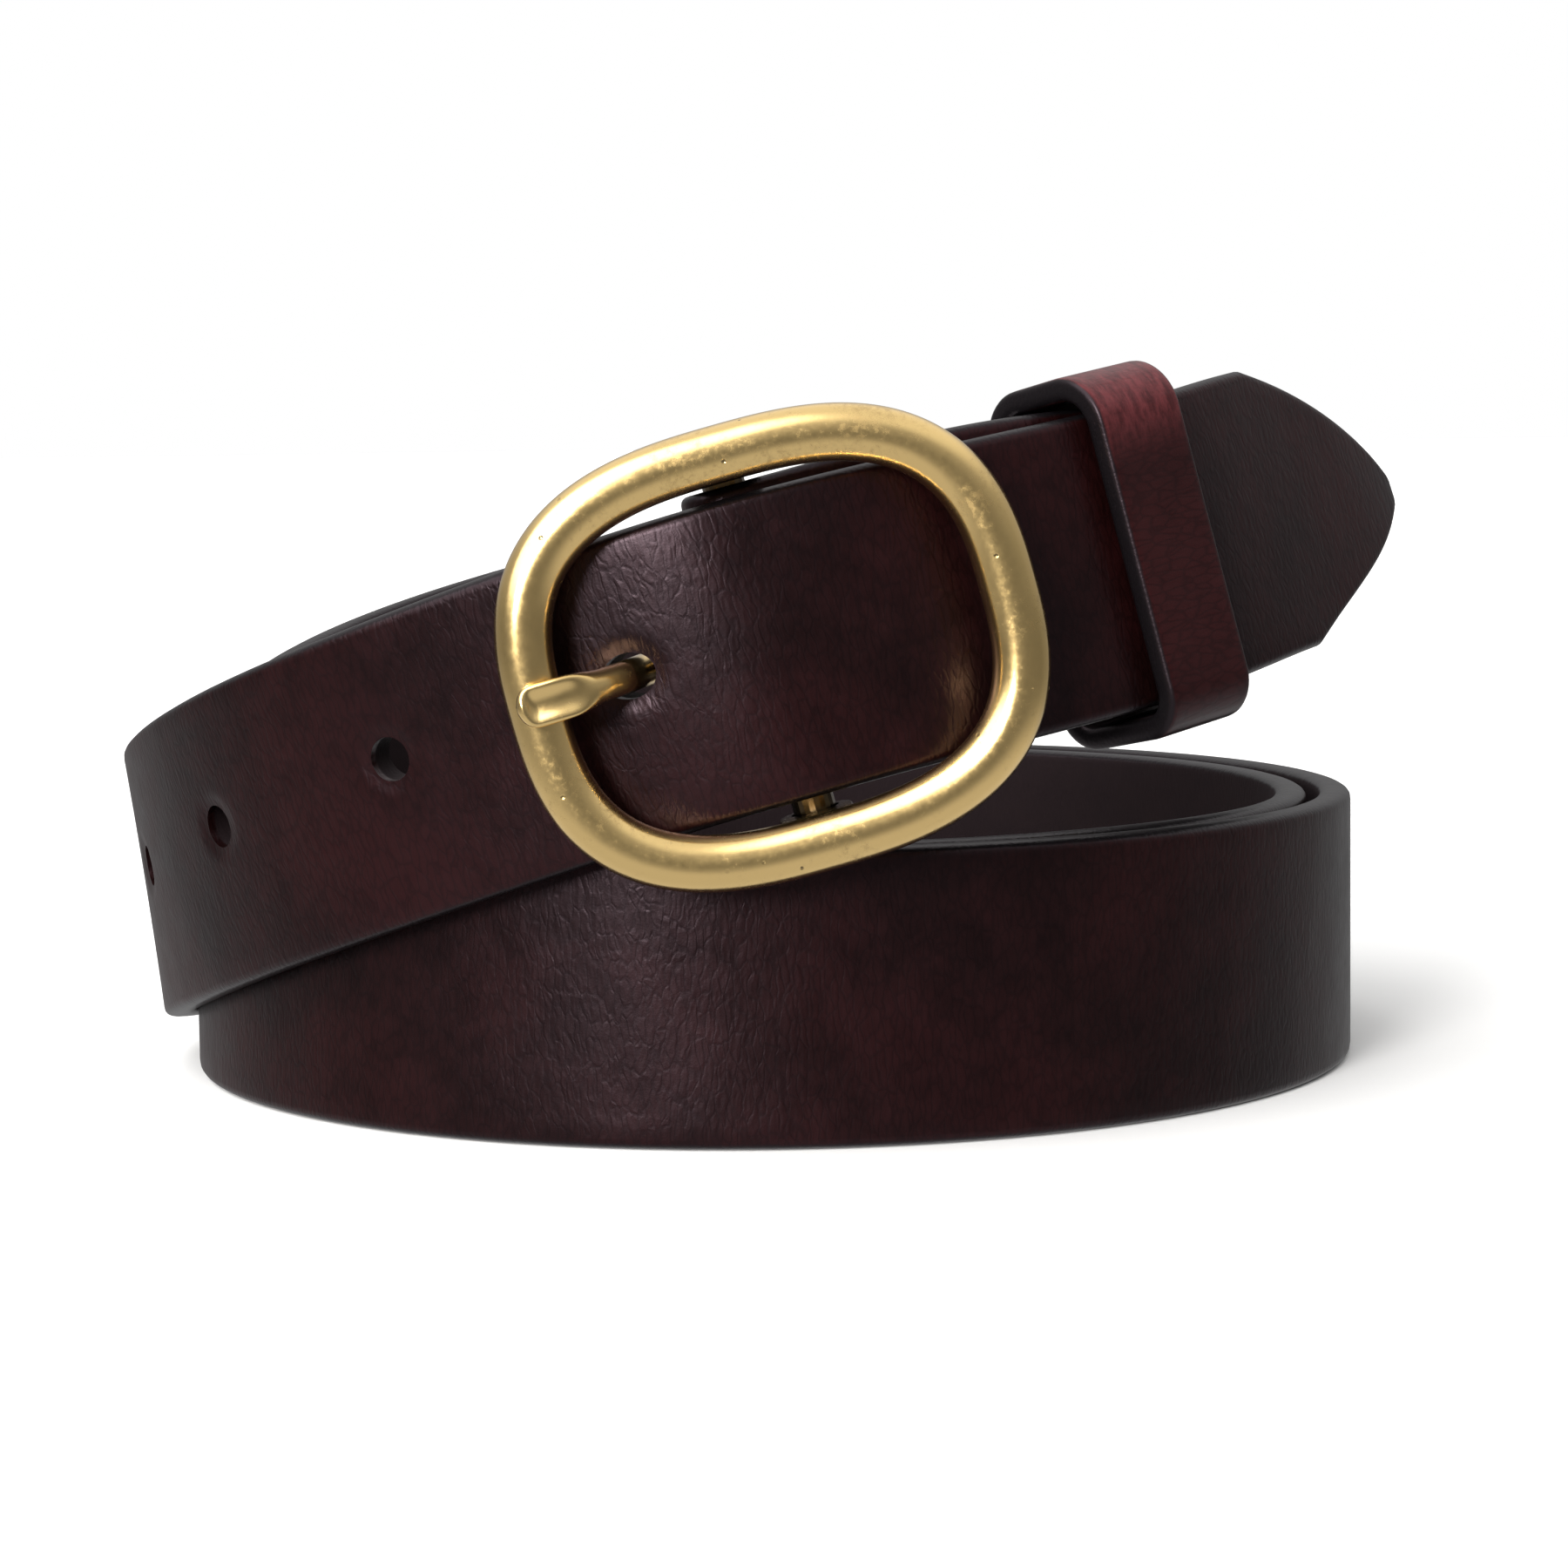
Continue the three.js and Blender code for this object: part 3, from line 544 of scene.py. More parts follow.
def attribute(tree, name):
    """A named vector attribute."""
    node = add_node(
        tree, "GeometryNodeInputNamedAttribute", {"Name": name}, data_type="FLOAT_VECTOR"
    )
    return node.outputs["Attribute"]


def parts_of(tree, vector):
    """The three numbers of a vector."""
    return add_node(tree, "ShaderNodeSeparateXYZ", {0: vector}).outputs


def store_vector(tree, geometry, name, value):
    """Geometry with a named vector attribute on its points."""
    inputs = {"Geometry": geometry, "Name": name, "Value": value}
    node = add_node(
        tree,
        "GeometryNodeStoreNamedAttribute",
        inputs,
        data_type="FLOAT_VECTOR",
        domain="POINT",
    )
    return node.outputs[0]


def sweep_tree():
    """Sweeps an outline along a route whose points say which way is across and which is outward."""
    sockets = {
        "Outline": "NodeSocketObject",
        "Fill Ends": "NodeSocketBool",
        "Finish": "NodeSocketMaterial",
    }
    tree, given = geometry_tree("Sweep along a route", sockets)
    route = add_node(tree, "GeometryNodeMeshToCurve", {0: given.outputs["Geometry"]})
    outline = add_node(tree, "GeometryNodeObjectInfo", {"Object": given.outputs["Outline"]})
    profile = add_node(tree, "GeometryNodeMeshToCurve", {0: outline.outputs["Geometry"]})
    inputs = {
        "Curve": route.outputs[0],
        "Profile Curve": profile.outputs[0],
        "Fill Caps": given.outputs["Fill Ends"],
    }
    swept = add_node(tree, "GeometryNodeCurveToMesh", inputs)
    share, corner, height = parts_of(tree, attribute(tree, "place"))
    half_width, half_thick, rounding = parts_of(tree, attribute(tree, "section"))
    run, dish, crown = parts_of(tree, attribute(tree, "run"))
    flat = arithmetic(tree, "SUBTRACT", half_width, rounding)
    face = arithmetic(tree, "MULTIPLY", share, flat)
    sideways = arithmetic(tree, "MULTIPLY_ADD", corner, rounding, face)
    top = arithmetic(tree, "POWER", arithmetic(tree, "MAXIMUM", height, 0.0), 4.0)
    sunk = arithmetic(tree, "MULTIPLY", top, dish)
    raised = arithmetic(tree, "MULTIPLY", height, half_thick)
    level = arithmetic(tree, "SUBTRACT", raised, sunk)
    swell = arithmetic(tree, "SUBTRACT", 1.0, arithmetic(tree, "MULTIPLY", share, share))
    off = arithmetic(tree, "MULTIPLY_ADD", crown, swell, level)
    across = vectors(tree, "SCALE", attribute(tree, "across"), sideways)
    outward = vectors(tree, "SCALE", attribute(tree, "outward"), off)
    spot = vectors(tree, "ADD", attribute(tree, "centre"), vectors(tree, "ADD", across, outward))
    inputs = {"Geometry": swept.outputs[0], "Position": spot}
    shaped = add_node(tree, "GeometryNodeSetPosition", inputs).outputs[0]
    unrolled = add_node(tree, "ShaderNodeCombineXYZ", {0: run, 1: sideways, 2: off}).outputs[0]
    rim = arithmetic(tree, "ABSOLUTE", corner)
    skin = add_node(tree, "ShaderNodeCombineXYZ", {0: rim, 1: height, 2: share}).outputs[0]
    shaped = store_vector(tree, shaped, "unrolled", unrolled)
    shaped = store_vector(tree, shaped, "skin", skin)
    return end_tree(tree, shaped, given.outputs["Finish"])


def punch_tree():
    """Drives a round punch through the leather at each of the marked points."""
    sockets = {
        "Marks": "NodeSocketObject",
        "Punch Diameter": "NodeSocketFloat",
        "Punch Length": "NodeSocketFloat",
        "Finish": "NodeSocketMaterial",
    }
    tree, given = geometry_tree("Punch holes", sockets)
    marks = add_node(tree, "GeometryNodeObjectInfo", {"Object": given.outputs["Marks"]})
    radius = arithmetic(tree, "MULTIPLY", given.outputs["Punch Diameter"], 0.5)
    inputs = {"Vertices": 40, "Radius": radius, "Depth": given.outputs["Punch Length"]}
    punch = add_node(tree, "GeometryNodeMeshCylinder", inputs)
    axes = {0: attribute(tree, "outward"), 1: attribute(tree, "across")}
    turn = add_node(
        tree, "FunctionNodeAxesToRotation", axes, primary_axis="Z", secondary_axis="Y"
    )
    scale = attribute(tree, "stretch")
    inputs = {
        "Points": marks.outputs["Geometry"],
        "Instance": punch.outputs[0],
        "Rotation": turn.outputs[0],
        "Scale": scale,
    }
    punches = add_node(tree, "GeometryNodeInstanceOnPoints", inputs)
    cutters = add_node(tree, "GeometryNodeRealizeInstances", {0: punches.outputs[0]})
    whole = given.outputs["Geometry"]
    cut = add_node(tree, "GeometryNodeMeshBoolean", operation="DIFFERENCE", solver="MANIFOLD")
    tree.links.new(whole, cut.inputs[0])
    tree.links.new(cutters.outputs[0], cut.inputs[1])
    result = cut.outputs[0]
    for name in ("unrolled", "skin"):
        inputs = {"Mesh": whole, "Value": attribute(tree, name)}
        kept = add_node(tree, "GeometryNodeSampleNearestSurface", inputs, data_type="FLOAT_VECTOR")
        result = store_vector(tree, result, name, kept.outputs["Value"])
    return end_tree(tree, result, given.outputs["Finish"])


def repeat_tree():
    """Sets a copy of one fitting on each of the marked points."""
    sockets = {"Fitting": "NodeSocketObject", "Finish": "NodeSocketMaterial"}
    tree, given = geometry_tree("Set fittings", sockets)
    fitting = add_node(tree, "GeometryNodeObjectInfo", {"Object": given.outputs["Fitting"]})
    axes = {0: attribute(tree, "outward"), 1: attribute(tree, "across")}
    turn = add_node(
        tree, "FunctionNodeAxesToRotation", axes, primary_axis="Z", secondary_axis="Y"
    )
    inputs = {
        "Points": given.outputs["Geometry"],
        "Instance": fitting.outputs["Geometry"],
        "Rotation": turn.outputs[0],
        "Scale": attribute(tree, "stretch"),
    }
    copies = add_node(tree, "GeometryNodeInstanceOnPoints", inputs)
    return end_tree(tree, copies.outputs[0], given.outputs["Finish"])


TREE_MAKERS = {
    "Sweep along a route": sweep_tree,
    "Punch holes": punch_tree,
    "Set fittings": repeat_tree,
}


def node_tree(name):
    """The named geometry node tree, made when it is first asked for."""
    if name not in bpy.data.node_groups:
        TREE_MAKERS[name]()
    return bpy.data.node_groups[name]


# ---- Making meshes -------------------------------------------------------------------------------


def new_object(name, points, edges=(), faces=()):
    """A mesh object linked to the scene."""
    mesh = bpy.data.meshes.new(name)
    mesh.from_pydata([tuple(p) for p in points], list(edges), list(faces))
    obj = bpy.data.objects.new(name, mesh)
    bpy.context.scene.collection.objects.link(obj)
    return obj


def mark(obj, name, values):
    """Writes a vector attribute on an object's points."""
    layer = obj.data.attributes.new(name, "FLOAT_VECTOR", "POINT")
    spread = np.broadcast_to(np.asarray(values, float), (len(obj.data.vertices), 3))
    layer.data.foreach_set("vector", np.ascontiguousarray(spread, dtype=np.float32).ravel())


def vectors_from(items, key):
    """The named vector of each item of a mesh, as rows."""
    values = np.empty(len(items) * 3)
    items.foreach_get(key, values)
    return values.reshape(-1, 3)


def run_tree(obj, tree, **inputs):
    """Runs a geometry node tree on an object and keeps its result as the object's plain mesh."""
    modifier = obj.modifiers.new(tree.name, "NODES")
    modifier.node_group = tree
    for item in tree.interface.items_tree:
        key = item.name.lower().replace(" ", "_")
        if item.in_out == "INPUT" and key in inputs:
            modifier[item.identifier] = inputs[key]
    settle(obj)


def settle(obj):
    """Turns what an object's modifiers give into its own mesh."""
    depsgraph = bpy.context.evaluated_depsgraph_get()
    seen = obj.evaluated_get(depsgraph)
    mesh = bpy.data.meshes.new_from_object(seen, preserve_all_data_layers=True, depsgraph=depsgraph)
    obj.modifiers.clear()
    old = obj.data
    obj.data = mesh
    bpy.data.meshes.remove(old)
    if not mesh.polygons:
        raise RuntimeError(f"{obj.name} came out with no faces")


def combine(obj, others, operation):
    """Joins other objects to this one, or cuts them from it; the others are removed."""
    for other in others:
        modifier = obj.modifiers.new(other.name, "BOOLEAN")
        modifier.object = other
        modifier.operation = operation
        modifier.solver = "MANIFOLD"
    settle(obj)
    remove(*others)


def remove(*objects):
    """Deletes helper objects and their meshes."""
    for obj in objects:
        mesh = obj.data
        bpy.data.objects.remove(obj)
        bpy.data.meshes.remove(mesh)


def face_outwards(obj):
    """Makes the faces of a closed mesh point outwards."""
    work = bmesh.new()
    work.from_mesh(obj.data)
    bmesh.ops.recalc_face_normals(work, faces=work.faces)
    work.to_mesh(obj.data)
    work.free()


def soften(obj, sharp_degrees=METAL_CRISP):
    """Smooth shading, with edges sharper than the given angle kept crisp."""
    obj.data.polygons.foreach_set("use_smooth", [True] * len(obj.data.polygons))
    obj.data.set_sharp_from_angle(angle=math.radians(sharp_degrees))
    obj.data.update()


def rounded_outline(columns_out, columns_in, corner_steps=9, squareness=2.6):
    """Outline of a band with rounded edges: share of the flat, share of the corner, height."""
    theta = np.radians(np.linspace(90, -90, corner_steps + 2)[1:-1])
    corner = np.abs(np.cos(theta)) ** (2 / squareness)
    height = np.sign(np.sin(theta)) * np.abs(np.sin(theta)) ** (2 / squareness)
    ones = np.ones_like(corner)
    outer = [(share, 0, 1) for share in columns_out]
    far = list(zip(ones, corner, height))
    inner = [(share, 0, -1) for share in columns_in[::-1]]
    near = list(zip(-ones, -corner, height))[::-1]
    return np.array(outer + far + inner + near)


def round_outline(sides=24, squareness=2.0):
    """Outline of a bar: a circle, or a little squarer."""
    theta = np.arange(sides) * math.tau / sides
    across = np.sign(np.cos(theta)) * np.abs(np.cos(theta)) ** (2 / squareness)
    height = np.sign(np.sin(theta)) * np.abs(np.sin(theta)) ** (2 / squareness)
    return np.stack([np.zeros(sides), across, height], axis=1)


def sweep(name, rows, outline, finish, closed=False):
    """Sweeps an outline along rows given in metres, as one closed mesh."""
    count = len(rows["centre"])
    edges = [(i, i + 1) for i in range(count - 1)]
    if closed:
        edges.append((count - 1, 0))
    obj = new_object(name, rows["centre"], edges)
    for key, values in rows.items():
        mark(obj, key, values)
    shape = new_object(
        name + "_outline",
        [(s + c, h, 0) for s, c, h in outline],
        [(i, (i + 1) % len(outline)) for i in range(len(outline))],
    )
    mark(shape, "place", outline)
    tree = node_tree("Sweep along a route")
    run_tree(obj, tree, outline=shape, fill_ends=not closed, finish=finish)
    remove(shape)
    face_outwards(obj)
    return obj


def columns_of(count, *sizes):
    """Sizes in millimetres, each one number or a row of them, as columns in metres."""
    return np.stack([np.broadcast_to(np.asarray(v, float), (count,)) * MM for v in sizes], axis=1)


def rows_of(centre, across, outward, half_width, half_thick, rounding, run, dish=0.0, crown=0.0):
    """Rows for a sweep. Sizes are in millimetres; the centre is in metres already."""
    count = len(centre)
    return {
        "centre": centre,
        "across": across,
        "outward": outward,
        "section": columns_of(count, half_width, half_thick, rounding),
        "run": columns_of(count, run, dish, crown),
    }


def revolved(name, profile, steps=40):
    """A solid turned about z from a profile of radius and height that starts and ends on the axis."""
    points = []
    faces = []
    rings = []
    for radius, height in profile:
        if radius == 0:
            rings.append([len(points)] * steps)
            points.append((0, 0, height * MM))
            continue
        rings.append(list(range(len(points), len(points) + steps)))
        reach = radius * MM
        for i in range(steps):
            angle = i * math.tau / steps
            points.append((reach * math.cos(angle), reach * math.sin(angle), height * MM))
    for low, high in zip(rings, rings[1:]):
        for i in range(steps):
            k = (i + 1) % steps
            corners = [low[i], low[k], high[k], high[i]]
            faces.append(list(dict.fromkeys(corners)))
    obj = new_object(name, points, faces=faces)
    face_outwards(obj)
    return obj


def prism(name, outline, low, high, matrix):
    """An outline in a placing matrix's x and y, drawn out along its z from low to high."""
    count = len(outline)
    points = [(x, y, z) for z in (low, high) for x, y in outline]
    faces = [list(range(count)), list(range(count, 2 * count))[::-1]]
    for i in range(count):
        k = (i + 1) % count
        faces.append([i, k, count + k, count + i])
    obj = new_object(name, placed(matrix, points), faces=faces)
    face_outwards(obj)
    return obj


def rod(name, radius, low, high, matrix, steps=40):
    """A plain rod along the z of a placing matrix, from low to high."""
    theta = np.arange(steps) * math.tau / steps
    ring = np.stack([np.cos(theta) * radius, np.sin(theta) * radius], 1)
    return prism(name, ring, low, high, matrix)


def coat(obj, name):
    """Gives the whole object one finish."""
    obj.data.materials.clear()
    obj.data.materials.append(finish(name))


def keep_piece(obj, body, slot, *nodes):
    """Hands a finished piece to the frame: hangs it on its body and hides the CAD nodes it stands for.
    The slot is not used.
    """
    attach(obj, body)
    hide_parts(*nodes)


# ---- Finishes ------------------------------------------------------------------------------------


def new_material(name):
    """A material with a Principled shader, its tree and that shader."""
    material = bpy.data.materials.new(name)
    material.use_nodes = True
    tree = material.node_tree
    return material, tree, tree.nodes["Principled BSDF"]


def ramp(tree, factor, stops, interpolation="LINEAR"):
    """Output of a Color Ramp with greys or colours at the given places."""
    node = add_node(tree, "ShaderNodeValToRGB", {0: factor})
    node.color_ramp.interpolation = interpolation
    elements = node.color_ramp.elements
    while len(elements) < len(stops):
        elements.new(0.5)
    for element, (place, value) in zip(elements, stops):
        element.position = place
        element.color = (*value, 1.0) if isinstance(value, tuple) else (value, value, value, 1.0)
    return node.outputs[0]


def blend(tree, factor, first, second, mode="MIX"):
    """Colour output of a Mix node."""
    node = tree.nodes.new("ShaderNodeMix")
    node.data_type = "RGBA"
    node.blend_type = mode
    # A Mix node has inputs for every kind of value; its colours are these.
    sockets = (node.inputs[0], node.inputs[6], node.inputs[7])
    for socket, value in zip(sockets, (factor, first, second)):
        if isinstance(value, bpy.types.NodeSocket):
            tree.links.new(value, socket)
        elif isinstance(value, (int, float)):
            socket.default_value = value
        else:
            socket.default_value = (*value, 1.0)
    return node.outputs[2]


def noise(tree, vector, scale, detail=3.0, roughness=0.55, distortion=0.0):
    """Fac output of a Noise texture."""
    inputs = {
        "Vector": vector,
        "Scale": scale,
        "Detail": detail,
        "Roughness": roughness,
        "Distortion": distortion,
    }
    return add_node(tree, "ShaderNodeTexNoise", inputs).outputs[0]


def stretched(tree, vector, scale):
    """A vector with its three numbers scaled apart."""
    return vectors(tree, "MULTIPLY", vector, scale)


def bump(tree, height, distance, strength=1.0, below=None):
    """Normal output of a Bump node on top of another one."""
    inputs = {"Height": height, "Distance": distance, "Strength": strength}
    if below is not None:
        inputs["Normal"] = below
    return add_node(tree, "ShaderNodeBump", inputs).outputs[0]


def leather_material(name, deep, light, edge, flesh, crease=1.0, highlight_colour=None):
    """Grained leather that follows the strap: wrinkles run across it, edges are burnished black."""
    material, tree, shader = new_material(name)
    unrolled = add_node(tree, "ShaderNodeAttribute", attribute_name="unrolled").outputs["Vector"]
    skin = add_node(tree, "ShaderNodeAttribute", attribute_name="skin").outputs["Vector"]
    rim, side, share = parts_of(tree, skin)

    patches = noise(tree, unrolled, PATCH_SCALE, detail=2.0)
    mottle = noise(tree, unrolled, MOTTLE_SCALE, detail=4.0, roughness=0.62)
    broad = arithmetic(tree, "MULTIPLY", patches, 0.65)
    tone = arithmetic(tree, "MULTIPLY_ADD", mottle, 0.35, broad)
    grain_colour = ramp(tree, tone, [(0.36, deep), (0.66, light)], "EASE")

    # Fine wrinkles that run across the strap, pores between them, and a soft unevenness.
    wrinkle_space = stretched(tree, unrolled, (1.0, 0.32, 1.0))
    inputs = {"Vector": unrolled, "Scale": WANDER_SCALE, "Detail": 2.0}
    wander = add_node(tree, "ShaderNodeTexNoise", inputs)
    wandered = vectors(tree, "SCALE", wander.outputs["Color"], WANDER_REACH * crease)
    wrinkle_space = vectors(tree, "ADD", wrinkle_space, wandered)
    inputs = {
        "Vector": wrinkle_space,
        "Scale": PORE_SCALE,
        "Randomness": 1.0,
        "Smoothness": 0.35,
    }
    cells = add_node(tree, "ShaderNodeTexVoronoi", inputs, feature="SMOOTH_F1").outputs["Distance"]
    inputs = {"Vector": wrinkle_space, "Scale": WRINKLE_SCALE, "Randomness": 1.0}
    creases = add_node(tree, "ShaderNodeTexVoronoi", inputs, feature="DISTANCE_TO_EDGE").outputs[0]
    creases = ramp(tree, creases, [(0.0, 0.0), (0.16, 1.0)], "EASE")
    fine = noise(tree, unrolled, FINE_SCALE, detail=2.0)
    swell = noise(tree, stretched(tree, unrolled, (1.0, 0.5, 1.0)), SWELL_SCALE, detail=1.0)

    # Painted shade: the colour is darkened in the wrinkle valleys.
    crease_shaded = blend(tree, 0.35, grain_colour, creases, "MULTIPLY")
    fleshy = ramp(tree, mottle, [(0.3, flesh), (0.75, tuple(c * 1.7 for c in flesh))])
    half_up = arithmetic(tree, "MULTIPLY_ADD", side, 0.5, 0.5)
    on_grain = ramp(tree, half_up, [(0.70, 0.0), (0.80, 1.0)])
    body = blend(tree, on_grain, fleshy, crease_shaded)
    # On the keeper, a painted highlight lightens the upper front.
    if highlight_colour is not None:
        body = blend(tree, painted_top_highlight(tree, unrolled), body, highlight_colour)
    frayed = noise(tree, unrolled, BURNISH_SCALE)
    burnish = arithmetic(tree, "MULTIPLY_ADD", frayed, 0.3, rim)
    burnish = ramp(tree, burnish, [(0.5, 0.0), (0.86, 1.0)], "EASE")
    tree.links.new(blend(tree, burnish, body, edge), shader.inputs["Base Color"])

    values = (mottle, GRAIN_ROUGHNESS_SPREAD, GRAIN_ROUGHNESS)
    rough_grain = arithmetic(tree, "MULTIPLY_ADD", *values)
    rough = blend(tree, on_grain, FLESH_ROUGHNESS, rough_grain)
    rough = blend(tree, burnish, rough, EDGE_ROUGHNESS)
    tree.links.new(rough, shader.inputs["Roughness"])

    normal = bump(tree, swell, SWELL_DEPTH, 0.5)
    normal = bump(tree, creases, WRINKLE_DEPTH * crease, 0.6, normal)
    normal = bump(tree, cells, PORE_DEPTH * crease, 0.75, normal)
    normal = bump(tree, fine, FINE_DEPTH, 0.5, normal)
    tree.links.new(normal, shader.inputs["Normal"])
    shader.inputs["Specular IOR Level"].default_value = LEATHER_SHEEN
    shader.inputs["Specular Tint"].default_value = LEATHER_SHEEN_TINT
    return material


def painted_top_highlight(tree, unrolled):
    """Share of painted highlight on the keeper: its upper front, lit from above, broken into patches.
    """
    run = parts_of(tree, unrolled)[0]
    away = arithmetic(tree, "ABSOLUTE", arithmetic(tree, "SUBTRACT", run, KEEPER_HIGHLIGHT_AT * MM))
    share = arithmetic(tree, "MULTIPLY", away, 1 / (KEEPER_HIGHLIGHT_REACH * MM))
    # The painted highlight fades away from its middle along the loop.
    worn = ramp(tree, share, [(0.0, 1.0), (1.0, 0.0)], "EASE")
    drawn_out = stretched(tree, unrolled, (0.4, 1.0, 1.0))
    patchy = noise(tree, drawn_out, 1600.0, detail=4.0, roughness=0.7)
    patchy = ramp(tree, patchy, [(0.38, 0.35), (0.62, 1.0)])
    return arithmetic(tree, "MULTIPLY", worn, patchy)


def brass_material(name, bright, dark):
    """Antique brass: satin, worn bright, with brown tarnish in patches and small pits, and painted
    shade where a piece lies deep behind the frame's front.
    """
    material, tree, shader = new_material(name)
    space = add_node(tree, "ShaderNodeTexCoord").outputs["Object"]
    clouds = noise(tree, space, TARNISH_SCALE, detail=3.0)
    specks = noise(tree, space, SPECK_SCALE, detail=5.0, roughness=0.7)
    worn = arithmetic(tree, "MULTIPLY_ADD", specks, 0.5, arithmetic(tree, "MULTIPLY", clouds, 0.5))
    tarnish = ramp(tree, worn, [(0.52, 0.0), (0.70, 1.0)], "EASE")
    inputs = {"Vector": space, "Scale": PIT_SCALE, "Randomness": 1.0}
    cells = add_node(tree, "ShaderNodeTexVoronoi", inputs, feature="F1")
    pit = ramp(tree, cells.outputs["Distance"], [(0.06, 1.0), (0.17, 0.0)], "EASE")
    chosen = ramp(tree, parts_of(tree, cells.outputs["Color"])[0], [(0.86, 0.0), (0.9, 1.0)])
    pits = arithmetic(tree, "MULTIPLY", pit, chosen)
    colour_now = blend(tree, arithmetic(tree, "MULTIPLY", tarnish, 0.55), bright, dark)
    colour_now = blend(tree, arithmetic(tree, "MULTIPLY", pits, 0.8), colour_now, PIT_COLOUR)
    # Painted shade: the brass darkens where a piece lies deep behind the frame's front.
    recess = add_node(tree, "ShaderNodeAttribute", attribute_name="recess").outputs["Fac"]
    colour_now = blend(tree, recess, colour_now, RECESS_SHADE_COLOUR)
    tree.links.new(colour_now, shader.inputs["Base Color"])
    rough = arithmetic(tree, "MULTIPLY_ADD", specks, 0.16, 0.13)
    tree.links.new(arithmetic(tree, "MULTIPLY_ADD", tarnish, 0.14, rough), shader.inputs["Roughness"])
    normal = bump(tree, noise(tree, space, CAST_SCALE, detail=1.0), CAST_DEPTH, 0.3)
    normal = bump(tree, specks, SPECK_DEPTH, 0.4, normal)
    normal = bump(tree, arithmetic(tree, "SUBTRACT", 1.0, pits), PIT_DEPTH, 0.8, normal)
    tree.links.new(normal, shader.inputs["Normal"])
    shader.inputs["Metallic"].default_value = 1.0
    shader.inputs["Coat Weight"].default_value = BRASS_COAT
    shader.inputs["Coat Roughness"].default_value = BRASS_COAT_ROUGHNESS
    return material


def steel_material(name, tint):
    """Drawn steel wire with fine lines along it."""
    material, tree, shader = new_material(name)
    space = add_node(tree, "ShaderNodeTexCoord").outputs["Object"]
    lines = noise(tree, stretched(tree, space, (1.0, 0.15, 0.15)), 4000.0, detail=2.0)
    shade = tuple(0.55 * c for c in tint)
    tree.links.new(ramp(tree, lines, [(0.3, shade), (0.7, tint)]), shader.inputs["Base Color"])
    rough = arithmetic(tree, "MULTIPLY_ADD", lines, 0.2, 0.22)
    tree.links.new(rough, shader.inputs["Roughness"])
    tree.links.new(bump(tree, lines, 0.00001, 0.5), shader.inputs["Normal"])
    shader.inputs["Metallic"].default_value = 1.0
    return material


def floor_material(name, tint):
    """A plain pale floor, matt, with the faintest mottle."""
    material, tree, shader = new_material(name)
    space = add_node(tree, "ShaderNodeTexCoord").outputs["Object"]
    shade = tuple(0.985 * c for c in tint)
    soft = noise(tree, space, 9.0, detail=2.0)
    tree.links.new(ramp(tree, soft, [(0.35, shade), (0.65, tint)]), shader.inputs["Base Color"])
    shader.inputs["Roughness"].default_value = 0.9
    shader.inputs["Specular IOR Level"].default_value = 0.1
    return material


def finish(name):
    """The named finish, made once from the scene's colours."""
    title = name + " finish"
    if title in bpy.data.materials:
        return bpy.data.materials[title]
    pick = bpy.context.scene.belt_colours
    tones = {key: tuple(getattr(pick, key)) for key in BeltColours.__annotations__}
    edge, flesh = tones["leather_edge"], tones["leather_flesh"]
    if name == "strap_leather":
        return leather_material(title, tones["leather"], tones["leather_red"], edge, flesh)
    if name == "keeper_leather":
        # The keeper's pale colour is a painted highlight on its upper front.
        deep, pale = tones["keeper"], tones["keeper_pale"]
        red = tuple(1.9 * part for part in deep)
        return leather_material(title, deep, red, edge, flesh, 0.5, pale)
    if name == "brass":
        return brass_material(title, tones["brass"], tones["brass_dark"])
    # Painted shade: the centre bar's brass is darkened as if it lay in shadow behind the strap.
    if name == "dark_brass":
        shade = tuple(0.25 * part for part in tones["brass_dark"])
        return brass_material(title, shade, tuple(0.4 * part for part in shade))
    if name == "steel":
        return steel_material(title, tones["steel"])
    return floor_material(title, tones["floor"])


# ---- Pieces --------------------------------------------------------------------------------------


